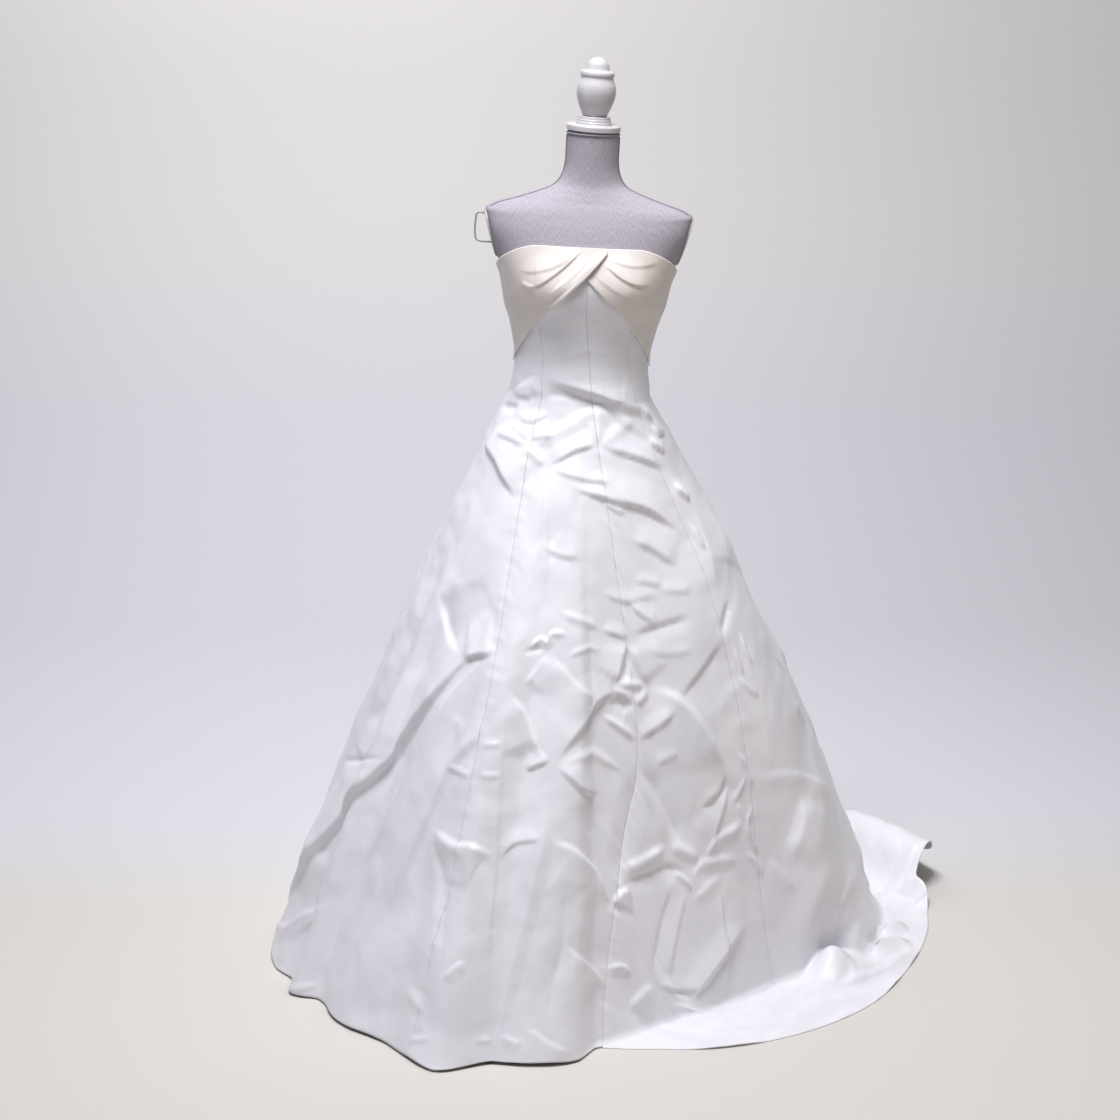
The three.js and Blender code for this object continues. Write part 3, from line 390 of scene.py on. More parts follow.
    ("right_tick_7", 2.5, 6, 6, [(58.5, 388), (55.5, 366), (51.8, 345)]),
    ("right_tick_8", 2.5, 6, 6, [(59, 333), (56, 302), (57, 268)]),
    ("right_tick_9", 3, 8, 8, [(83, 581), (88, 523), (89, 473)]),
    ("right_tick_10", 3, 8, 8, [(82, 480), (85, 453), (85.5, 420)]),
    # the midriff
    ("midriff_1", 2, 8, 10, [(-23, 1219), (-13, 1233), (-4, 1250)]),
    ("midriff_2", 1.5, 10, 10, [(-40, 1147), (-25, 1154), (-12, 1161)]),
    ("midriff_3", 1.5, 10, 10, [(-25, 1126), (2, 1140), (18, 1145)]),
]
# The train's ripples on the floor
TRAIN_CREASES = [
    ("train_1", 14, 12, 20, [(80, 30), (82, 0), (84, -35), (86, -60)]),
    ("train_2", 11, 10, 16, [(88, 20), (90, -10), (92, -45)]),
    ("train_3", 5, 20, 20, [(60, -70), (72, -60), (84, -70)]),
    ("train_4", 5, 25, 25, [(105, -30), (103, -80), (101, -100)]),
]
# The drapes' pleats, and the lower edge of each
LEFT_PLEATS = [
    ("pleat", 2.5, 26, 4, [(-46, 1262), (-41, 1258), (-35, 1262), (-26, 1278), (-16, 1299), (-5, 1321)]),
    ("pleat_hook", 1.5, 5, 9, [(-52, 1266), (-46, 1259), (-38, 1257)]),
    ("fold_above", 1.4, 18, 9, [(-56, 1283), (-43, 1282), (-31, 1288), (-20, 1301), (-12, 1317)]),
    ("band_top", 2.2, 8, 26, [(-30, 1243), (-18, 1266), (-7, 1287), (4, 1305), (12, 1318)]),
    ("band_fold", 1, 12, 6, [(-36, 1216), (-24, 1243), (-12, 1266), (0, 1290), (12, 1312)]),
    ("crossing", 2.2, 10, 26, [(-35, 1209), (-21, 1238), (-10, 1262), (2, 1288), (16, 1309), (24, 1319)]),
    ("side", -1.5, 8, 8, [(-63, 1275), (-68, 1219), (-84, 1159)]),
    ("side_2", 1.5, 14, 8, [(-70, 1290), (-76, 1240), (-86, 1190)]),
    ("side_3", -1.2, 10, 10, [(-58, 1240), (-62, 1200), (-68, 1160)]),
]
RIGHT_PLEATS = [
    ("pleat", 2.5, 24, 4, [(13, 1296), (20, 1286), (27, 1272), (35, 1262), (43, 1258), (52, 1257)]),
    ("fold_above", 1.2, 16, 8, [(16, 1304), (27, 1297), (38, 1291), (50, 1292), (60, 1297)]),
    ("band", 1, 20, 10, [(6, 1281), (15, 1265), (26, 1248), (38, 1232)]),
    ("side_1", -2, 8, 8, [(61, 1279), (65, 1233), (70, 1185)]),
    ("side_2", -1.5, 8, 8, [(53, 1272), (55, 1236), (60, 1201)]),
    ("side_3", 1.5, 10, 6, [(70, 1290), (74, 1240), (80, 1180)]),
]
LEFT_DRAPE_EDGE = table("azimuth z", [
    (-90, 1102), (-70, 1132), (-53, 1168), (-37, 1202), (-24, 1225), (-14, 1248), (-2, 1270),
    (12, 1300), (18, 1314)])
RIGHT_DRAPE_EDGE = table("azimuth z", [
    (-9, 1282), (-2, 1273), (10, 1251), (21, 1228), (37, 1198), (52, 1167), (72, 1130), (90, 1102)])
CROSSING = (-26, -11)  # azimuths in which the left drape rises over the right one


def along(rows, key, column, x, period=0):
    """A cubic through the rows of a table that never overshoots them."""
    keys, values = rows[key], rows[column]
    if period:
        keys = np.concatenate([keys[-1:] - period, keys, keys[:2] + period])
        values = np.concatenate([values[-1:], values, values[:2]])
        x = rows[key][0] + np.mod(np.asarray(x, float) - rows[key][0], period)
    else:
        keys = np.concatenate([keys[:1] - 1, keys, keys[-1:] + 1])
        values = np.concatenate([values[:1], values, values[-1:]])
        x = np.clip(np.asarray(x, float), rows[key][0], rows[key][-1])
    at = np.clip(np.searchsorted(keys, x, side="right") - 1, 1, len(keys) - 3)
    step = keys[at + 1] - keys[at]
    slope = (values[at + 1] - values[at]) / step
    before = (values[at + 1] - values[at - 1]) / (keys[at + 1] - keys[at - 1])
    after = (values[at + 2] - values[at]) / (keys[at + 2] - keys[at])
    if not period:
        before = np.where(at == 1, slope, before)
        after = np.where(at == len(keys) - 3, slope, after)

    def limited(m):
        """A slope that can't overshoot."""
        return np.where(m * slope <= 0, 0, np.sign(slope) * np.minimum(abs(m), 3 * abs(slope)))

    t = (x - keys[at]) / step
    return ((2 * t**3 - 3 * t**2 + 1) * values[at] + (t**3 - 2 * t**2 + t) * step * limited(before)
            + (3 * t**2 - 2 * t**3) * values[at + 1] + (t**3 - t**2) * step * limited(after))


def ease(a, b, x):
    """0 at a, 1 at b, smooth between and level outside."""
    t = np.clip((x - a) / (b - a), 0, 1)
    return t * t * (3 - 2 * t)


def wrap(azimuth):
    """An azimuth between -180 and 180."""
    return np.mod(azimuth + 180, 360) - 180


def form_radius(azimuth, z):
    """How far the form reaches from its axis: a rounded section and two cups."""
    half, front, back, power = (
        along(FORM_SECTIONS, "z", column, z) for column in ("half", "front", "back", "power"))
    turn = np.radians(azimuth)
    side = np.abs(np.sin(turn)) / half
    depth = np.abs(np.cos(turn)) / np.where(np.cos(turn) > 0, front, back)
    rise = CUPS["depth"] * np.exp(-(((z - CUPS["z"]) / CUPS["reach"]) ** 2))
    cups = sum(np.exp(-((wrap(azimuth - side_of * CUPS["azimuth"]) / CUPS["spread"]) ** 2))
               for side_of in (-1, 1))
    return (side**power + depth**power) ** (-1 / power) + rise * cups


def arm_plane(z):
    """The flat that the arm plate covers, as the furthest x at a height."""
    return ARM_PLANE["x"] + (z - ARM_PLANE["z"]) * ARM_PLANE["slope"]


def leaning(x, y, z):
    """From the form's upright frame to the room, because the form leans."""
    up = z - LEAN_HEIGHT
    return np.stack([x * math.cos(LEAN) + up * math.sin(LEAN), y + 0 * x,
                     LEAN_HEIGHT - x * math.sin(LEAN) + up * math.cos(LEAN)], -1)


def around_form(azimuth, radius, z):
    """The place in the room of a turn, a radius and a height in the form's frame."""
    turn = np.radians(azimuth)
    return leaning(radius * np.sin(turn), -radius * np.cos(turn), z)


def top_edge(azimuth):
    """The height of the gown's top edge, which dips at the sides and the back."""
    front, side, back = TOP_EDGE_TURNS
    turn = np.abs(wrap(azimuth))
    return TOP_EDGE - TOP_EDGE_DIP * ease(front, side, turn) - TOP_EDGE_BACK_DIP * ease(side, back, turn)


def bodice_point(azimuth, z):
    """The inside of the bodice at a height in the form's frame."""
    return around_form(azimuth, form_radius(azimuth, z) + FORM_EASE, z)


def rounder(column, azimuth):
    """A column of the floor table with its folds smoothed out."""
    turns = np.arange(-180, 180, 3.0)
    weights = np.exp(-((wrap(turns[:, None] - turns[None]) / FOLD_TURN) ** 2))
    even = weights @ along(FLOOR, "azimuth", column, turns, 360) / weights.sum(1)
    return np.interp(wrap(azimuth), np.append(turns, 180), np.append(even, even[0]))


def roll_height(x, y):
    """How high the roll in the train stands over a point of the floor."""
    mouth, inner = np.array(ROLL["mouth"]), np.array(ROLL["inner"])
    length = np.hypot(*(inner - mouth))
    run = (inner - mouth) / length
    far = ((x - mouth[0]) * run[0] + (y - mouth[1]) * run[1]) / length
    aside = (x - mouth[0]) * run[1] - (y - mouth[1]) * run[0]
    arch = np.cos(np.pi / 2 * np.clip(aside / ROLL["half"], -1, 1)).clip(0) ** ROLL["arch"]
    height = ROLL["height"] * arch * (1 - ease(1 - ROLL["fade"], 1, far))
    return np.where((np.abs(aside) < ROLL["half"]) & (far <= 1), height, 0)


def skirt_point(azimuth, share):
    """A point of the skirt's inside, and how far past the foot it lies on the floor.

    The skirt is a slanted line from the hip, bowed out, then a round turn, then the floor.
    """
    start = bodice_point(azimuth, np.full_like(azimuth, CONE_TOP))
    foot, hem, bow = (along(FLOOR, "azimuth", column, azimuth, 360) for column in ("foot", "hem", "bow"))
    hem = hem + sum(out * np.exp(-((wrap(azimuth - at) / wide) ** 2)) for at, wide, out in MOUTH)
    # The long folds begin under the hip, so over them the skirt is rounder than its foot.
    fold = ease(*FOLDS_BEGIN, share)
    foot = foot + (1 - fold) * (rounder("foot", azimuth) - foot)
    bow = bow + (1 - fold) * (rounder("bow", azimuth) - bow)
    ahead = np.stack([np.sin(np.radians(azimuth)), -np.cos(np.radians(azimuth))], -1)
    out = foot[..., None] * ahead - start[..., :2]
    run = np.hypot(out[..., 0], out[..., 1])
    pitch = np.arctan2(start[..., 2], run)
    radius = np.minimum(FLOOR_TURN, TURN_SHARE * (hem - foot) / np.tan(pitch / 2))
    cut = radius * np.tan(pitch / 2)
    cone = np.hypot(run, start[..., 2]) - cut
    turn = radius * pitch
    total = cone + turn + hem - foot - cut
    # Rows crowd onto the floor where there is a train.
    split = np.where(share < COLUMN_SHARE, share / COLUMN_SHARE * cone,
                     cone + (share - COLUMN_SHARE) / (1 - COLUMN_SHARE) * (total - cone))
    rest = share * total + (split - share * total) * ease(*TRAINED, hem - foot)
    bowed = bow * np.sin(np.pi * np.clip(rest / cone, 0, 1))
    left = pitch - np.clip((rest - cone) / radius, 0, pitch)
    on_cone = rest <= cone
    across = np.where(on_cone, rest * np.cos(pitch) + bowed * np.sin(pitch),
                      cone * np.cos(pitch) + radius * (np.sin(pitch) - np.sin(left)))
    z = np.where(on_cone, start[..., 2] - rest * np.sin(pitch) + bowed * np.cos(pitch),
                 radius * (1 - np.cos(left)))
    flat = np.maximum(rest - cone - turn, 0)
    slanted = start[..., :2] + out / run[..., None] * across[..., None]
    lying = (foot + cut + flat)[..., None] * ahead
    plan = np.where((rest <= cone + turn)[..., None], slanted, lying)
    # At the right the foot is tucked back and the fold beside it stands forward.
    near = np.exp(-(((plan[..., 1] - TUCK["y"]) / TUCK["deep"]) ** 2)) * (plan[..., 0] > 0)
    near = near * np.exp(-((z / TUCK["high"]) ** 2)) * ease(TUCK["lying"], 0, flat)
    shove = sum(out * np.exp(-(((plan[..., 0] - at) / wide) ** 2)) for at, wide, out in TUCK["folds"])
    plan = plan + np.stack([0 * near, near * shove], -1)
    rolled = roll_height(plan[..., 0], plan[..., 1])
    share_of_roll = np.where(flat > 0, 1, ease(ROLL["cone_from"], ROLL["cone_to"], z))
    off = ((plan[..., 0] - MOUND["x"]) ** 2 + (plan[..., 1] - MOUND["y"]) ** 2) / MOUND["radius"] ** 2
    raised = z + rolled * share_of_roll + MOUND["height"] * np.exp(-off)
    return np.concatenate([plan, raised[..., None]], -1), z - flat


def gown_point(azimuth, row):
    """The inside of the gown."""
    azimuth, row = np.broadcast_arrays(np.asarray(azimuth, float), np.asarray(row, float))
    top = top_edge(azimuth)
    body = bodice_point(azimuth, top + (CONE_TOP - top) * np.minimum(row, 1.1))
    skirt, _ = skirt_point(azimuth, np.maximum(row - 1, 0))
    return np.where((row < 1)[..., None], body, skirt)


def directions(surface, azimuth, row):
    """The tangent across and the outward normal of a surface."""
    across = surface(azimuth + PROBE_TURN, row) - surface(azimuth - PROBE_TURN, row)
    down = surface(azimuth, row + PROBE_STEP) - surface(azimuth, row - PROBE_STEP)
    normal = np.cross(down, across)
    return (across / np.linalg.norm(across, axis=-1, keepdims=True),
            normal / np.linalg.norm(normal, axis=-1, keepdims=True))


def row_at(azimuth, level):
    """The row of a height on the gown, or below 0 of a distance past the foot."""
    low, high = np.zeros_like(azimuth), np.full_like(azimuth, 1.0)
    for _ in range(24):
        middle = (low + high) / 2
        _, reached = skirt_point(azimuth, middle)
        low = np.where(reached > level, middle, low)
        high = np.where(reached > level, high, middle)
    top = top_edge(azimuth)
    # Heights over the hip are the room's, and the form leans.
    upright = level - bodice_point(azimuth, level)[..., 2] + level
    return np.where(level < CONE_TOP - 6, 1 + low, np.clip((top - upright) / (top - CONE_TOP), 0, 1))


def smooth_run(points, spacing):
    """Points every few millimetres along a smooth curve through (azimuth, level) points."""
    points = np.array(points, float)
    padded = np.concatenate([2 * points[:1] - points[1:2], points, 2 * points[-1:] - points[-2:-1]])
    made = []
    for a, b, c, d in zip(padded, padded[1:], padded[2:], padded[3:]):
        span = np.hypot((c - b)[0] * DEGREE_MM, (c - b)[1])
        t = np.linspace(0, 1, max(2, round(span / spacing)), endpoint=False)[:, None]
        made.append(b + (c - a) / 2 * t + (a - 2.5 * b + 2 * c - d / 2) * t**2
                    + (1.5 * (b - c) + (d - a) / 2) * t**3)
    return np.concatenate([*made, points[-1:]])


def behind(creases):
    """Like creases for the side away from the viewer: mirrored, moved up or down and thinned out."""
    made = []
    for k, (name, height, first, second, points) in enumerate(creases):
        if k % 3 < 2:
            rise = BACK_RISE * math.sin(BACK_STEP * k)
            made.append((name + "_behind", height * (1 + BACK_CHANGE * math.cos(k)), second, first,
                         [(BACK_TURN - azimuth, level + rise) for azimuth, level in points
                          if level + rise > 0]))
    return [crease for crease in made if len(crease[-1]) > 1]


def crease_frames(creases):
    """Each crease with its points in the room, the direction to its first side, and its fade."""
    made = []
    for name, height, first, second, points in creases:
        if first != second:
            steep = min(first, second)
            first, second = (side * (STEEPER if side == steep else BROADER) for side in (first, second))
        run = smooth_run(points, CREASE_STEP)
        azimuth, row = run[:, 0], row_at(run[:, 0], run[:, 1])
        _, normal = directions(gown_point, azimuth, row)
        place = gown_point(azimuth, row) + normal * CLOTH
        tangent = np.gradient(place, axis=0)
        length = np.concatenate([[0], np.cumsum(np.linalg.norm(np.diff(place, axis=0), axis=1))])
        along_it = length / length[-1]
        side = np.cross(normal, tangent)
        side /= np.linalg.norm(side, axis=1, keepdims=True) + TINY
        fade = ease(0, CREASE_FADE, along_it) * ease(1, 1 - CREASE_FADE, along_it)
        narrow = NARROW + (1 - NARROW) * fade
        made.append((CREASE_GAIN * height * fade, first * narrow, second * narrow, place, side))
    return made


def relief(points, frames):
    """The height that the creases give each point of the cloth."""
    height = np.zeros(len(points))
    for rise, first, second, place, side in frames:
        reach = max(first.max(), second.max())
        low, high = place.min(0) - reach, place.max(0) + reach
        near = np.nonzero(((points > low) & (points < high)).all(1))[0]
        for part in np.array_split(near, max(1, len(near) // CHUNK)):
            if not len(part):
                continue
            off = points[part][:, None] - place[None]
            distance = np.einsum("ijk,ijk->ij", off, off)
            nearest = distance.argmin(1)
            across = np.einsum("ij,ij->i", off[np.arange(len(part)), nearest], side[nearest])
            beyond = (nearest == 0) | (nearest == len(place) - 1)
            away = np.where(beyond, distance[np.arange(len(part)), nearest], across**2)
            apart = np.sqrt(away + CREST**2) - CREST
            width = np.where(across > 0, first[nearest], second[nearest])
            slope = np.clip(1 - apart / width, 0, 1)
            height[part] += rise[nearest] * slope**CREASE_POWER
    return height


def facets(across, down, cell, seed):
    """A crushed field: every cell of a jittered grid is a plane with its own tilt."""
    columns, rows = across / cell, down / (cell * CELL_STRETCH)
    column, row = np.floor(columns).astype(int), np.floor(rows).astype(int)

    def draw(i, j, k):
        """The same number from 0 to 1 each time for a cell."""
        mixed = np.sin(i * 127.1 + j * 311.7 + k * 74.7 + seed * 17.3) * 43758.5453
        return mixed - np.floor(mixed)

    total, weight = 0, 0
    for i in (-1, 0, 1):
        for j in (-1, 0, 1):
            a, b = column + i, row + j
            x, y = columns - a - draw(a, b, 1), rows - b - draw(a, b, 2)
            share = np.exp(-(x * x + y * y) * FACET_EDGE)
            turn = 2 * np.pi * draw(a, b, 3)
            plane = (x * np.cos(turn) + y * np.sin(turn)) + draw(a, b, 4) - 0.5
            total, weight = total + share * plane, weight + share
    return total / weight * cell


def developed(azimuth, row):
    """The cloth laid flat: how far across and down a point is from the cone's tip."""
    radius = np.maximum(CONE_TIP + (row - 1) * ROW_MM, CONE_TIP - 120)
    turn = np.radians(wrap(azimuth)) * CONE_SINE
    return radius * np.sin(turn), radius * np.cos(turn)


def feed(tree, made, **inputs):
    """Gives a node's sockets their links or values, by socket name or number."""
    for name, value in inputs.items():
        numbered = name[0] == "_" and name[1:].isdigit()
        socket = made.inputs[int(name[1:]) if numbered else name.replace("_", " ")]
        if isinstance(value, bpy.types.NodeSocket):
            tree.links.new(value, socket)
        else:
            socket.default_value = value


def node(tree, kind, settings=None, **inputs):
    """Adds a shader node with its settings and its links or values."""
    made = tree.nodes.new(kind)
    for name, value in (settings or {}).items():
        setattr(made, name, value)
    feed(tree, made, **inputs)
    return made


def linear(colour):
    """An sRGB hex colour as linear values."""
    parts = [int(colour[k:k + 2], 16) / 255 for k in (1, 3, 5)]
    return (*[c / 12.92 if c <= 0.04045 else ((c + 0.055) / 1.055) ** 2.4 for c in parts], 1.0)


def new_material(name):
    """A material with an empty tree but for its output, and a Principled shader."""
    material = bpy.data.materials.new(name)
    material.use_nodes = True
    tree = material.node_tree
    tree.nodes.clear()
    output = node(tree, "ShaderNodeOutputMaterial")
    shader = node(tree, "ShaderNodeBsdfPrincipled")
    tree.links.new(shader.outputs["BSDF"], output.inputs["Surface"])
    return material, tree, shader


def duchess_satin(name, light, shade):
    """Heavy polyester duchess satin: a soft broad sheen, with faint slubs along the warp. Its colours are
    given; the drapes' darker, warmer ones are painted shade and painted warm light.
    """
    material, tree, shader = new_material(name)
    uv = node(tree, "ShaderNodeTexCoord").outputs["UV"]
    # The warp floats are 0.3 mm apart, and are drawn 1.2 mm apart so that they show.
    warp = node(tree, "ShaderNodeMapping", Vector=uv, Scale=(1 / (1.2 * MM), 1 / (14 * MM), 1))
    floats = node(tree, "ShaderNodeTexNoise", {"noise_dimensions": "2D"}, Vector=warp.outputs[0], Scale=1.0,
                  Detail=2.0)
    # The cloth's own unevenness, from pressing and storage, 90 mm across
    patches = node(tree, "ShaderNodeTexNoise", {"noise_dimensions": "2D"}, Vector=uv, Scale=1 / (90 * MM),
                   Detail=3.0)
    tone = node(tree, "ShaderNodeMapRange", Value=patches.outputs["Fac"], From_Min=0.35, From_Max=0.65)
    colour = node(tree, "ShaderNodeMix", {"data_type": "RGBA"}, _0=tone.outputs[0], _6=linear(shade),
                  _7=linear(light))
    # Small crush marks 16 mm across that are too low to model
    crush = node(tree, "ShaderNodeTexNoise", {"noise_dimensions": "2D"}, Vector=uv, Scale=1 / (16 * MM),
                 Detail=2.0, Distortion=0.6)
    low = node(tree, "ShaderNodeBump", Height=crush.outputs["Fac"], Strength=0.25, Distance=0.9 * MM)
    fine = node(tree, "ShaderNodeBump", Height=floats.outputs["Fac"], Strength=0.35, Distance=0.12 * MM,
                Normal=low.outputs[0])
    feed(tree, shader, Base_Color=colour.outputs[2], Normal=fine.outputs[0], Roughness=0.42,
         Specular_IOR_Level=0.45, Sheen_Weight=0.12, Sheen_Roughness=0.4)
    return material


def cover_linen(name, hexes):
    """A woven linen cover: matt, with upright slubs of lighter and darker yarn."""
    material, tree, shader = new_material(name)
    uv = node(tree, "ShaderNodeTexCoord").outputs["UV"]
    # Slubs are 0.7 mm wide and 9 mm long, drawn 1.2 mm wide so that they show.
    slub = node(tree, "ShaderNodeMapping", Vector=uv, Scale=(1 / (1.2 * MM), 1 / (9 * MM), 1))
    yarn = node(tree, "ShaderNodeTexNoise", {"noise_dimensions": "2D"}, Vector=slub.outputs[0], Scale=1.0,
                Detail=3.0)
    cross = node(tree, "ShaderNodeMapping", Vector=uv, Scale=(1 / (6 * MM), 1 / (1.2 * MM), 1))
    weft = node(tree, "ShaderNodeTexNoise", {"noise_dimensions": "2D"}, Vector=cross.outputs[0], Scale=1.0,
                Detail=2.0)
    spread = node(tree, "ShaderNodeMapRange", Value=yarn.outputs["Fac"], From_Min=0.3, From_Max=0.7)
    colour = node(tree, "ShaderNodeMix", {"data_type": "RGBA"}, _0=spread.outputs[0],
                  _6=linear(hexes[1]), _7=linear(hexes[0]))
    both = node(tree, "ShaderNodeMath", {"operation": "ADD"}, _0=yarn.outputs["Fac"], _1=weft.outputs["Fac"])
    bump = node(tree, "ShaderNodeBump", Height=both.outputs[0], Strength=0.6, Distance=0.5 * MM)
    feed(tree, shader, Base_Color=colour.outputs[2], Normal=bump.outputs[0], Roughness=0.92,
         Specular_IOR_Level=0.25)
    return material


def gloss_paint(name, hexes, roughness, grain):
    """Gloss paint brushed on turned wood or metal: a clear highlight, a little uneven. Its colours are given;
    the arm plates' grey ones are painted shade.
    """
    material, tree, shader = new_material(name)
    place = node(tree, "ShaderNodeTexCoord").outputs["Object"]
    # Brush marks and grain under the paint, spaced as named
    marks = node(tree, "ShaderNodeTexNoise", Vector=place, Scale=1 / (grain * MM), Detail=3.0)
    colour = node(tree, "ShaderNodeMix", {"data_type": "RGBA"}, _0=marks.outputs["Fac"],
                  _6=linear(hexes[0]), _7=linear(hexes[1]))
    bump = node(tree, "ShaderNodeBump", Height=marks.outputs["Fac"], Strength=0.15, Distance=0.15 * MM)
    feed(tree, shader, Base_Color=colour.outputs[2], Normal=bump.outputs[0], Roughness=roughness,
         Coat_Weight=0.4, Coat_Roughness=0.12)
    return material


def nickel_plate():
    """Nickel plate on a zinc slider: a soft bright metal, rubbed along its edges."""
    material, tree, shader = new_material("nickel_plate")
    place = node(tree, "ShaderNodeTexCoord").outputs["Object"]
    # Polishing marks 0.4 mm apart
    rubbed = node(tree, "ShaderNodeTexNoise", Vector=place, Scale=1 / (0.4 * MM), Detail=2.0)
    rough = node(tree, "ShaderNodeMapRange", Value=rubbed.outputs["Fac"], To_Min=0.22, To_Max=0.38)
    feed(tree, shader, Roughness=rough.outputs[0], Base_Color=linear(NICKEL), Metallic=1.0)
    return material


def paper_sweep(name, hexes):
    """Matt background paper and floor paint: warm floor, then a cooler, duller wall of painted shade and,
    towards its top, a warmer, brighter wall of painted light.
    """
    material, tree, shader = new_material(name)
    place = node(tree, "ShaderNodeTexCoord").outputs["Object"]
    parts = node(tree, "ShaderNodeSeparateXYZ", Vector=place)
    # How far back and up a place on the sweep is, in metres
    back = node(tree, "ShaderNodeMath", {"operation": "ADD"}, _0=parts.outputs["Y"], _1=parts.outputs["Z"])
    colour = linear(hexes[0])
    # The bands paint shade on the lower wall and light on the upper wall.
    for (low, high), layer in zip(SWEEP["light_and_shade_bands"], hexes[1:]):
        rise = node(tree, "ShaderNodeMapRange", {"interpolation_type": "SMOOTHSTEP"}, Value=back.outputs[0],
                    From_Min=low, From_Max=high)
        colour = node(tree, "ShaderNodeMix", {"data_type": "RGBA"}, _0=rise.outputs[0], _6=colour,
                      _7=linear(layer)).outputs[2]
    feed(tree, shader, Base_Color=colour, Roughness=0.85, Specular_IOR_Level=0.2)
    # The paper shows from its front alone, so a camera behind the wall sees the gown too.
    facing = node(tree, "ShaderNodeNewGeometry")
    clear = node(tree, "ShaderNodeBsdfTransparent")
    mixed = node(tree, "ShaderNodeMixShader", _0=facing.outputs["Backfacing"], _1=shader.outputs[0],
                 _2=clear.outputs[0])
    feed(tree, tree.nodes["Material Output"], Surface=mixed.outputs[0])
    return material


def linked(name, mesh, material, smooth=True):
    """A mesh as an object in the scene with one material."""
    mesh.materials.clear()
    mesh.materials.append(material)
    for face in mesh.polygons:
        face.use_smooth = smooth
    made = bpy.data.objects.new(name, mesh)
    bpy.context.scene.collection.objects.link(made)
    return made


def finished(name, bm, material, smooth=True):
    """A bmesh as an object in the scene with one material."""
    mesh = bpy.data.meshes.new(name)
    bm.to_mesh(mesh)
    bm.free()
    return linked(name, mesh, material, smooth)


def laid_grid(name, columns, rows, place, material):
    """A grid of faces whose points place(u, v) lays in the room, with its laid-flat UVs."""
    bm = bmesh.new()
    bmesh.ops.create_grid(bm, x_segments=columns, y_segments=rows, size=0.5)
    made = finished(name, bm, material)
    mesh = made.data
    flat = np.empty(len(mesh.vertices) * 3)
    mesh.vertices.foreach_get("co", flat)
    flat = flat.reshape(-1, 3)
    points, cloth, outward = place(flat[:, 0] + 0.5, 0.5 - flat[:, 1])
    mesh.vertices.foreach_set("co", (points * MM).ravel())
    mesh.update()
    corners = np.empty(len(mesh.loops), int)
    mesh.loops.foreach_get("vertex_index", corners)
    layer = mesh.uv_layers.new(name="cut")
    layer.data.foreach_set("uv", (cloth[corners] * MM).ravel())
    faces = np.empty(len(mesh.polygons) * 3)
    mesh.polygons.foreach_get("normal", faces)
    first = np.empty(len(mesh.polygons), int)
    mesh.polygons.foreach_get("loop_start", first)
    facing = np.einsum("ij,ij->i", faces.reshape(-1, 3), outward[corners[first]]).mean()
    if facing < 0:
        mesh.flip_normals()
    return made


def as_cloth(made, width, length, nodes):
    """Gives a laid grid its thickness and its body, and hides the node that it stands for."""
    areas = np.empty(len(made.data.polygons))
    made.data.polygons.foreach_get("area", areas)
    wall = made.modifiers.new("cloth", "SOLIDIFY")
    wall.thickness = bpy.context.scene.gown_sizes.cloth
    wall.offset = -1
    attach(made, BODY)
    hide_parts(*nodes)
    area = float(areas.sum())
    length = max(length, area / width * 1.001)


def hem_row(azimuth):
    """The last row: the hem hangs just over the floor, except where the train lies on it."""
    foot, hem = (along(FLOOR, "azimuth", column, azimuth, 360) for column in ("foot", "hem"))
    lift = sum(high * np.cos(turn * azimuth) for high, turn in HEM_WAVES)
    train = ease(*TRAIN_BEGINS, hem - foot)
    return row_at(azimuth, np.maximum(lift, HEM_LOWEST)) * (1 - train) + 2 * train


def seam_length(seam):
    """How long a seam is from the top edge to the hem, in millimetres."""
    last = hem_row(np.atleast_1d(along(SEAMS, "row", seam, 2.0)))[0]
    rows = np.linspace(0, last, 200)
    run = gown_point(along(SEAMS, "row", seam, rows), rows)
    return float(np.linalg.norm(np.diff(run, axis=0), axis=1).sum())


def seam_wave(distance, down, phase):
    """Small puckers that fade away from a sewn seam."""
    wave = sum(np.sin(2 * np.pi * down / long + phase * long) for long in SEAM_WAVES) / len(SEAM_WAVES)
    return SEAM_PUCKER * wave * np.exp(-((distance / SEAM_REACH) ** 2)) \
        - SEAM_GROOVE * np.exp(-((distance / SEAM_WIDTH) ** 2))


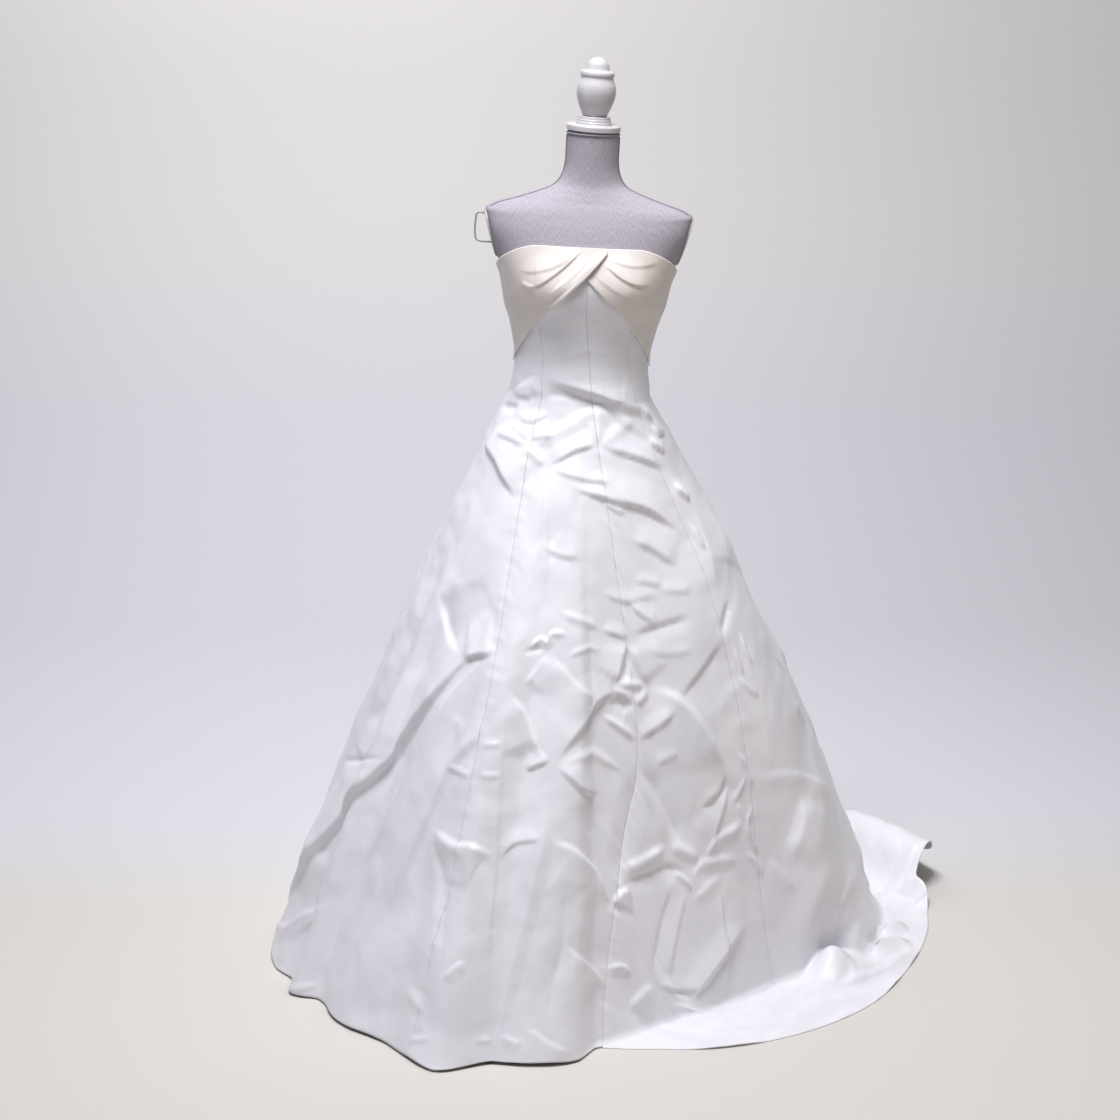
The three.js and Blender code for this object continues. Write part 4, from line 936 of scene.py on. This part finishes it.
def panel(piece, frames, material, sizes):
    """One full-length panel of the gown between two seams."""
    name, first_seam, last_seam, columns, rows = piece
    measured = {}

    def place(u, v):
        """Where a point of the grid lies, where it is in the flat cut, and its outward side."""
        step = np.rint(u * columns)
        ends = [float(along(SEAMS, "row", seam, 2.0)) for seam in (first_seam, last_seam)]
        spread = (ends[1] - ends[0]) % 360
        last_row = hem_row(ends[0] + np.arange(columns + 1) / columns * spread)[step.astype(int)]
        row = np.where(v < BODY_SHARE, v / BODY_SHARE,
                       1 + (v - BODY_SHARE) / (1 - BODY_SHARE) * (last_row - 1))
        first = along(SEAMS, "row", first_seam, row)
        last = along(SEAMS, "row", last_seam, row)
        turn = np.where(last > first, last - first, last + 360 - first)
        plan = gown_point(first + turn / 2, row)
        degree = np.hypot(plan[:, 0], plan[:, 1]) * math.radians(1)
        width = turn * degree
        back = columns - step
        count = len(SEAM_COLUMNS) - 1
        inner = SEAM_COLUMNS[-1] + (step - count) / (columns - 2 * count) * (width - 2 * SEAM_COLUMNS[-1])
        near, far = (np.interp(at, range(count + 1), SEAM_COLUMNS) for at in (step, back))
        across = np.where(step <= count, near, np.where(back <= count, width - far, inner))
        azimuth = first + across / degree
        base = gown_point(azimuth, row)
        tangent, normal = directions(gown_point, azimuth, row)
        inset = np.where(step == 0, GAP / 2, np.where(back == 0, -GAP / 2, 0))
        surface = base + tangent * inset[:, None] + normal * CLOTH
        height = relief(surface, frames)
        flat_x, flat_y = developed(azimuth, row)
        crushed = sizes.crumple / MM * ease(*CRUSH_FROM, row)
        crushed = crushed * (1 + CRUSH_MORE * ease(*CRUSH_SIDES, np.abs(wrap(azimuth))))
        for cell, share in CRUSH_CELLS:
            height += crushed * share * facets(flat_x, flat_y, cell, cell) / cell
        down = np.maximum(row - SEAM_FROM, 0) * ROW_MM
        shown = ease(*SEAM_START, row) * (SEAM_ABOVE + (1 - SEAM_ABOVE) * ease(*SEAM_FULL, row))
        height += seam_wave(across, down, len(first_seam)) * shown
        height += seam_wave(width - across, down, len(last_seam)) * shown
        bodice = ease(*BODICE_ROWS, row)
        height *= 1 - BODICE_CALM * bodice
        height = np.maximum(height, -BODICE_DEEPEST * bodice - SKIRT_DEEPEST * (1 - bodice))
        made = surface + normal * height[:, None]
        made[:, 2] = np.maximum(made[:, 2], CLOTH)
        measured["width"] = float(width.max())
        return made, np.stack([across - width / 2, row * ROW_MM], -1), normal

    made = laid_grid("satin_" + name, columns, rows, place, material)
    longest = max(seam_length(first_seam), seam_length(last_seam))
    as_cloth(made, measured["width"] * MM, longest * MM, [name])
    return made


def drape(name, edge, rise, frames, columns, rows, material):
    """A pleated drape over the bust, lying on the panels."""
    def place(u, v):
        """Where a point of the grid lies, where it is in the flat cut, and its outward side."""
        azimuth = edge["azimuth"][0] + u * (edge["azimuth"][-1] - edge["azimuth"][0])
        top = top_edge(azimuth)
        low = along(edge, "azimuth", "z", azimuth)
        z = top + (low - top) * v
        row = (top - z) / (top - CONE_TOP)
        base = gown_point(azimuth, row)
        _, normal = directions(gown_point, azimuth, row)
        lift = CLOTH + GAP + rise(azimuth) + CLOTH
        surface = base + normal * lift[:, None]
        height = relief(surface, frames)
        from_edge = (z - low) * DRAPE_SLANT
        for (high, wide), sign in ((DRAPE_FOLD, 1), (DRAPE_DIP, -1)):
            height += sign * high * np.exp(-((from_edge / wide) ** 2))
        height = np.maximum(height, -DRAPE_DEEPEST)
        across = wrap(azimuth) * DRAPE_DEGREE
        return surface + normal * height[:, None], np.stack([across, z], -1), normal

    made = laid_grid("satin_" + name, columns, rows, place, material)
    width = (edge["azimuth"][-1] - edge["azimuth"][0]) * DRAPE_DEGREE * MM
    as_cloth(made, width, DRAPE_LENGTH, [name])
    return made


def lathe(profile, steps, start):
    """A profile of (radius, height) spun about the axis from one side, as a bmesh."""
    bm = bmesh.new()
    row = [bm.verts.new((radius * start[0], radius * start[1], z)) for radius, z in profile]
    edges = [bm.edges.new(pair) for pair in zip(row, row[1:])]
    bmesh.ops.spin(bm, geom=row + edges, cent=(0, 0, 0), axis=(0, 0, 1), angle=2 * math.pi, steps=steps,
                   use_merge=True)
    bmesh.ops.remove_doubles(bm, verts=bm.verts, dist=1e-6)
    return bm


def spun(name, profile, steps, material, lay):
    """A profile of (radius, height) spun about the axis, then laid in the room by lay()."""
    bm = lathe(profile, steps, (1, 0))
    for vert in bm.verts:
        vert.co = lay(vert.co)
    bmesh.ops.recalc_face_normals(bm, faces=bm.faces)
    return finished(name, bm, material)


def rounded(points, radius, steps=4):
    """A profile with each corner cut by a small arc."""
    points = [np.array(p, float) for p in points]
    made = [points[0]]
    for a, b, c in zip(points, points[1:], points[2:]):
        into, out = a - b, c - b
        reach = min(radius, np.linalg.norm(into) * 0.48, np.linalg.norm(out) * 0.48)
        start, end = b + into / np.linalg.norm(into) * reach, b + out / np.linalg.norm(out) * reach
        for k in range(steps + 1):
            t = k / steps
            made.append((1 - t) ** 2 * start + 2 * t * (1 - t) * b + t**2 * end)
    return made + [points[-1]]


def wire(name, points, radius, material, closed=False):
    """A round wire or cord through points in mm, as a mesh."""
    curve = bpy.data.curves.new(name, "CURVE")
    curve.dimensions = "3D"
    curve.bevel_depth = radius * MM
    curve.bevel_resolution = 4
    curve.use_fill_caps = True
    spline = curve.splines.new("BEZIER")
    spline.bezier_points.add(len(points) - 1)
    for knot, point in zip(spline.bezier_points, points):
        knot.co = Vector(point * MM)
        knot.handle_left_type = knot.handle_right_type = "AUTO"
    spline.resolution_u = 8
    spline.use_cyclic_u = closed
    bent = bpy.data.objects.new(name, curve)
    bpy.context.scene.collection.objects.link(bent)
    bpy.context.view_layer.update()
    mesh = bpy.data.meshes.new_from_object(bent.evaluated_get(bpy.context.evaluated_depsgraph_get()))
    bpy.data.objects.remove(bent)
    return linked(name, mesh, material)


def on_neck(height):
    """Lays a turned piece on the leaning neck: (x, y, z over the neck) in mm."""
    def lay(co):
        """The place in the room of a point of the turned piece."""
        over = height + co.z
        x = co.x * math.cos(CAP_TILT) + over * math.sin(CAP_TILT)
        z = NECK_TOP + over * math.cos(CAP_TILT) + (CAP_RIM - co.x) * math.sin(CAP_TILT)
        return Vector(leaning(np.float64(x), np.float64(co.y), np.float64(z)) * MM)
    return lay


class GOWN_PG_sizes(bpy.types.PropertyGroup):
    """Sizes of the cloth."""

    cloth: bpy.props.FloatProperty(
        name="Cloth", description="Thickness of the satin with its interlining", default=0.0018,
        unit="LENGTH")
    crumple: bpy.props.FloatProperty(
        name="Crumple", description="Height of the small crushed facets", default=0.0045, unit="LENGTH")


class GOWN_PG_colours(bpy.types.PropertyGroup):
    """Colours of the finishes, as sRGB hex values."""

    satin_light: bpy.props.StringProperty(name="Satin", description="The satin where it is clean",
                                          default="#f2f1f6")
    satin_shade: bpy.props.StringProperty(name="Satin, duller", description="The satin's duller patches",
                                          default="#ecebf1")
    # The drapes' two colours are a darker, warmer copy of the satin: painted shade and painted warm light on
    # the drapes under the bust.
    drape_satin_painted_shade: bpy.props.StringProperty(name="Drape satin", description="The ivory of the bust drapes",
                                          default="#e9e2dd")
    drape_satin_painted_shade_duller: bpy.props.StringProperty(name="Drape satin, duller", description="Its duller patches",
                                          default="#e2d9d3")
    linen_light: bpy.props.StringProperty(name="Linen", description="Lighter yarns of the form's cover",
                                          default="#b3aeb6")
    linen_dark: bpy.props.StringProperty(name="Linen, darker", description="Darker yarns of the form's cover",
                                         default="#98939d")
    piping: bpy.props.StringProperty(name="Piping", description="The cord along the cover's seams",
                                     default="#8b8791")
    piping_dark: bpy.props.StringProperty(name="Piping, darker", description="The cord's darker yarns",
                                          default="#76727c")
    paint: bpy.props.StringProperty(name="Paint", description="The white gloss paint", default="#c9c6c9")
    floor: bpy.props.StringProperty(name="Floor", description="The floor of the sweep", default="#dcd8d2")
    # The wall's cooler, duller colour is painted shade; the upper wall's warmer, brighter one is painted
    # light.
    wall: bpy.props.StringProperty(name="Wall", description="The wall of the sweep", default="#dddee5")
    wall_top_painted_light: bpy.props.StringProperty(name="Upper wall", description="The wall over head height",
                                       default="#e6e4e3")


class GOWN_OT_studio(bpy.types.Operator):
    """Make the camera, the lights and the paper sweep"""

    bl_idname = "gown.studio"
    bl_label = "Studio"

    def execute(self, context):
        camera = bpy.data.cameras.new("camera")
        camera.sensor_width = SENSOR
        camera.lens = CAMERA["focal"] / IMAGE_SIZE * SENSOR
        eye = bpy.data.objects.new("camera", camera)
        eye.location = CAMERA["place"]
        eye.rotation_euler = (math.radians(90 - CAMERA["pitch"]), 0, 0)
        context.scene.collection.objects.link(eye)
        context.scene.camera = eye
        world = bpy.data.worlds.new("studio_air")
        world.use_nodes = True
        back = world.node_tree.nodes["Background"]
        back.inputs["Color"].default_value = linear(WORLD_COLOUR)
        back.inputs["Strength"].default_value = WORLD_STRENGTH
        context.scene.world = world
        for name, place, target, size, power, colour in LIGHTS:
            lamp = bpy.data.lights.new(name, "AREA")
            lamp.shape = "RECTANGLE"
            lamp.size, lamp.size_y = size
            lamp.energy = power
            lamp.color = linear(colour)[:3]
            made = bpy.data.objects.new(name, lamp)
            made.location = place
            made.rotation_euler = (Vector(target) - Vector(place)).to_track_quat("-Z", "Y").to_euler()
            context.scene.collection.objects.link(made)
        bm = bmesh.new()
        row = [bm.verts.new((-SWEEP["half"], y, 0)) for y in (SWEEP["front"], SWEEP["bend"])]
        edge = bm.edges.new(row)
        bent = bmesh.ops.spin(bm, geom=[row[1]], cent=(0, SWEEP["bend"], SWEEP["radius"]), axis=(1, 0, 0),
                              angle=math.pi / 2, steps=16)
        last = [v for v in bent["geom_last"] if isinstance(v, bmesh.types.BMVert)][0]
        up = bmesh.ops.extrude_vert_indiv(bm, verts=[last])
        bmesh.ops.translate(bm, verts=up["verts"], vec=(0, 0, SWEEP["height"]))
        wide = bmesh.ops.extrude_edge_only(bm, edges=bm.edges[:])
        moved = [v for v in wide["geom"] if isinstance(v, bmesh.types.BMVert)]
        bmesh.ops.translate(bm, verts=moved, vec=(2 * SWEEP["half"], 0, 0))
        bmesh.ops.recalc_face_normals(bm, faces=bm.faces)
        if max(bm.faces, key=lambda face: abs(face.normal.z)).normal.z < 0:
            bmesh.ops.reverse_faces(bm, faces=bm.faces)
        colours = context.scene.gown_colours
        paper = paper_sweep("matt_paper_painted_light_and_shade", (colours.floor, colours.wall, colours.wall_top_painted_light))
        sweep = finished("paper_sweep", bm, paper)
        context.scene.view_settings.view_transform = "Standard"
        context.scene.view_settings.look = "None"
        context.scene.view_settings.exposure = EXPOSURE
        return {"FINISHED"}


class GOWN_OT_panels(bpy.types.Operator):
    """Make the eight full-length panels of the gown"""

    bl_idname = "gown.panels"
    bl_label = "Panels"

    def execute(self, context):
        colours = context.scene.gown_colours
        material = duchess_satin("duchess_satin", colours.satin_light, colours.satin_shade)
        frames = crease_frames(SKIRT_CREASES + TRAIN_CREASES + behind(SKIRT_CREASES))
        for piece in PANELS:
            panel(piece, frames, material, context.scene.gown_sizes)
        return {"FINISHED"}


class GOWN_OT_drapes(bpy.types.Operator):
    """Make the two pleated drapes over the bust"""

    bl_idname = "gown.drapes"
    bl_label = "Drapes"

    def execute(self, context):
        colours = context.scene.gown_colours
        # The drapes' satin is darker and warmer than the skirt's: painted shade and painted warm light.
        material = duchess_satin("satin_painted_shade_warm_light", colours.drape_satin_painted_shade, colours.drape_satin_painted_shade_duller)
        drape("drape_left", LEFT_DRAPE_EDGE, lambda azimuth: (CLOTH + GAP) * ease(*CROSSING, azimuth),
              crease_frames(LEFT_PLEATS), 140, 72, material)
        drape("drape_right", RIGHT_DRAPE_EDGE, lambda azimuth: 0 * azimuth,
              crease_frames(RIGHT_PLEATS), 126, 72, material)
        return {"FINISHED"}


class GOWN_OT_form(bpy.types.Operator):
    """Make the dress form's padded body with its linen cover"""

    bl_idname = "gown.form"
    bl_label = "Form"

    def execute(self, context):
        fine = 1360  # from this height the sections are closer together
        heights = np.concatenate([np.arange(TORSO_BOTTOM, fine, 8), np.arange(fine, NECK_TOP, 3), [NECK_TOP]])

        def lay(co):
            """The place in the room of a point of the unit section at a height."""
            azimuth = math.degrees(math.atan2(co.x, -co.y)) if math.hypot(co.x, co.y) > 1e-4 else 0
            reach = float(form_radius(np.float64(azimuth), np.float64(co.z))) * math.hypot(co.x, co.y)
            x = reach * math.sin(math.radians(azimuth))
            if co.z > ARM_PLANE["from"]:
                flat = arm_plane(co.z)
                x = min(max(x, -flat), flat)
            y = -reach * math.cos(math.radians(azimuth))
            return Vector(leaning(np.float64(x), np.float64(y), np.float64(co.z)) * MM)

        profile = [(0, TORSO_BOTTOM), (0.9, TORSO_BOTTOM)] + [(1, z) for z in heights] + [(0, NECK_TOP)]
        bm = lathe(profile, 128, (0, -1))
        # The cover's warp runs upright, and its spacing stays the same from the neck to the chest.
        turns = np.radians(np.arange(-180, 181, 2.0))
        rounds = {}
        for z in {round(vert.co.z, 3) for vert in bm.verts}:
            reach = form_radius(np.degrees(turns), np.full_like(turns, z))
            ring = np.stack([reach * np.sin(turns), -reach * np.cos(turns)], -1)
            run = np.concatenate([[0], np.cumsum(np.linalg.norm(np.diff(ring, axis=0), axis=1))])
            rounds[z] = (run - np.interp(0, turns, run), reach)
        layer = bm.loops.layers.uv.new("cut")
        for face in bm.faces:
            middle = face.calc_center_median()
            centre = math.atan2(middle.x, -middle.y)
            for loop in face.loops:
                co = loop.vert.co
                turn = math.atan2(co.x, -co.y)
                turn = centre + (turn - centre + math.pi) % (2 * math.pi) - math.pi
                run, reach = rounds[round(co.z, 3)]
                up = co.z - np.interp(turn, turns, reach)
                loop[layer].uv = (np.interp(turn, turns, run) * MM, up * MM)
        for vert in bm.verts:
            vert.co = lay(vert.co)
        bmesh.ops.recalc_face_normals(bm, faces=bm.faces)
        colours = context.scene.gown_colours
        linen = cover_linen("cover_linen", (colours.linen_light, colours.linen_dark))
        made = finished("torso_cover", bm, linen)
        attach(made, BODY)
        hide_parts("torso")
        piping = cover_linen("piping_linen", (colours.piping, colours.piping_dark))
        for name, azimuth in (("left", -PIPING["azimuth"]), ("right", PIPING["azimuth"])):
            z = np.array(PIPING["heights"])
            reach = form_radius(np.full_like(z, azimuth), z) + PIPING["out"]
            cord = wire("piping_" + name, around_form(azimuth, reach, z), PIPING["radius"], piping)
            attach(cord, BODY)
        turns = np.arange(0, 360, 15.0)
        z = np.full_like(turns, NECK_TOP - 2 * PIPING["radius"])
        ring = wire("piping_neck", around_form(turns, form_radius(turns, z) + PIPING["out"], z),
                    PIPING["radius"], piping, closed=True)
        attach(ring, BODY)
        return {"FINISHED"}


class GOWN_OT_neck(bpy.types.Operator):
    """Make the turned neck cap and the finial"""

    bl_idname = "gown.neck"
    bl_label = "Neck cap and finial"

    def execute(self, context):
        hexes = (context.scene.gown_colours.paint, PAINT_GRAIN)
        paint = gloss_paint("gloss_paint_on_wood", hexes, 0.24, 12)
        # Each piece's height over the neck and the radius of its rounded corners
        pieces = (("neck_cap", CAP_OUTLINE, GAP, 0.9),
                  ("finial", FINIAL_OUTLINE, 2 * GAP + CAP_HEIGHT, 12.0))
        for name, outline, height, arc in pieces:
            profile = rounded([(radius, z) for z, radius in outline], arc)
            made = spun("turned_" + name, profile, 72, paint, on_neck(height))
            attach(made, BODY)
            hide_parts(name)
        return {"FINISHED"}


class GOWN_OT_arms(bpy.types.Operator):
    """Make the two arm plates and the bent wire loop"""

    bl_idname = "gown.arms"
    bl_label = "Arm plates and loop"

    def execute(self, context):
        # Grey enamel for the plates and the loop: painted shade.
        enamel = gloss_paint("enamel_on_steel_painted_shade", PLATE_ENAMEL_PAINTED_SHADE, 0.35, 20)
        tilt = math.atan(ARM_PLANE["slope"])
        for name, side in (("arm_plate_left", -1), ("arm_plate_right", 1)):
            bm = bmesh.new()
            bmesh.ops.create_circle(bm, cap_ends=True, segments=64, radius=1)
            bmesh.ops.scale(bm, vec=(ARM_PLATE["half_high"], ARM_PLATE["half_deep"], 1), verts=bm.verts)
            raised = bmesh.ops.extrude_face_region(bm, geom=bm.faces[:])
            top = [v for v in raised["geom"] if isinstance(v, bmesh.types.BMVert)]
            bmesh.ops.translate(bm, verts=top, vec=(0, 0, ARM_PLATE["thickness"]))
            rim = [e for e in bm.edges if e.verts[0] in top and e.verts[1] in top]
            bmesh.ops.bevel(bm, geom=rim, offset=1.0, segments=3, profile=0.5, affect="EDGES", material=-1)
            for vert in bm.verts:
                up, deep, off = vert.co.x, vert.co.y, vert.co.z + GAP
                x = arm_plane(ARM_PLATE["z"]) + up * math.sin(tilt) + off * math.cos(tilt)
                z = ARM_PLATE["z"] + up * math.cos(tilt) - off * math.sin(tilt)
                vert.co = Vector(leaning(np.float64(side * x), np.float64(deep), np.float64(z)) * MM)
            bmesh.ops.recalc_face_normals(bm, faces=bm.faces)
            made = finished("enamel_" + name, bm, enamel, smooth=False)
            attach(made, BODY)
            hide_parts(name)
        off = 2 * GAP + ARM_PLATE["thickness"] + ARM_LOOP["radius"]
        ends = [(-arm_plane(z) - off, z) for z in (ARM_LOOP["top"], ARM_LOOP["low"])]
        far = ends[0][0] - ARM_LOOP["reach"] + off
        bends = [ends[0], *[(far + inward, z) for inward, z in LOOP_BENDS], ends[1]]
        points = [leaning(np.float64(x), np.float64(0), np.float64(z)) for x, z in bends]
        made = wire("enamel_arm_loop", points, ARM_LOOP["radius"], enamel)
        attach(made, BODY)
        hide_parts("arm_loop")
        return {"FINISHED"}


class GOWN_OT_stand(bpy.types.Operator):
    """Finish the pole and base disc, and the zip's slider and pull"""

    bl_idname = "gown.stand"
    bl_label = "Stand and zip"

    def execute(self, context):
        enamel = gloss_paint("enamel_on_pole", POLE_ENAMEL, 0.35, 30)
        nickel = nickel_plate()
        for name, material in (("pole", enamel), ("base_disc", enamel), ("zip_slider", nickel),
                               ("zip_pull", nickel)):
            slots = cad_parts[name].material_slots
            if not slots:
                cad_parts[name].data.materials.append(material)
            for slot in slots:
                slot.material = material
        return {"FINISHED"}


class GOWN_PT_panel(bpy.types.Panel):
    """Lists the gown's sizes, colours and steps"""

    bl_idname = "GOWN_PT_panel"
    bl_label = "Gown"
    bl_space_type = "VIEW_3D"
    bl_region_type = "UI"
    bl_category = "Gown"

    def draw(self, context):
        for group in (context.scene.gown_sizes, context.scene.gown_colours):
            for name in group.bl_rna.properties.keys():
                if name not in ("rna_type", "name"):
                    self.layout.prop(group, name)
        for step in STEPS:
            self.layout.operator(step.bl_idname)


STEPS = (GOWN_OT_studio, GOWN_OT_form, GOWN_OT_neck, GOWN_OT_arms, GOWN_OT_stand, GOWN_OT_panels,
         GOWN_OT_drapes)
CLASSES = (GOWN_PG_sizes, GOWN_PG_colours, *STEPS, GOWN_PT_panel)


def register():
    """Adds the gown's settings, steps and panel."""
    for kind in CLASSES:
        bpy.utils.register_class(kind)
    bpy.types.Scene.gown_sizes = bpy.props.PointerProperty(type=GOWN_PG_sizes)
    bpy.types.Scene.gown_colours = bpy.props.PointerProperty(type=GOWN_PG_colours)


def unregister():
    """Takes them away again."""
    del bpy.types.Scene.gown_colours
    del bpy.types.Scene.gown_sizes
    for kind in reversed(CLASSES):
        bpy.utils.unregister_class(kind)


def main():
    """Builds the scene step by step."""
    register()
    for step in STEPS:
        group, name = step.bl_idname.split(".")
        if getattr(getattr(bpy.ops, group), name)() != {"FINISHED"}:
            raise RuntimeError(step.bl_label + " didn't finish")


if __name__ == "__main__":
    main()
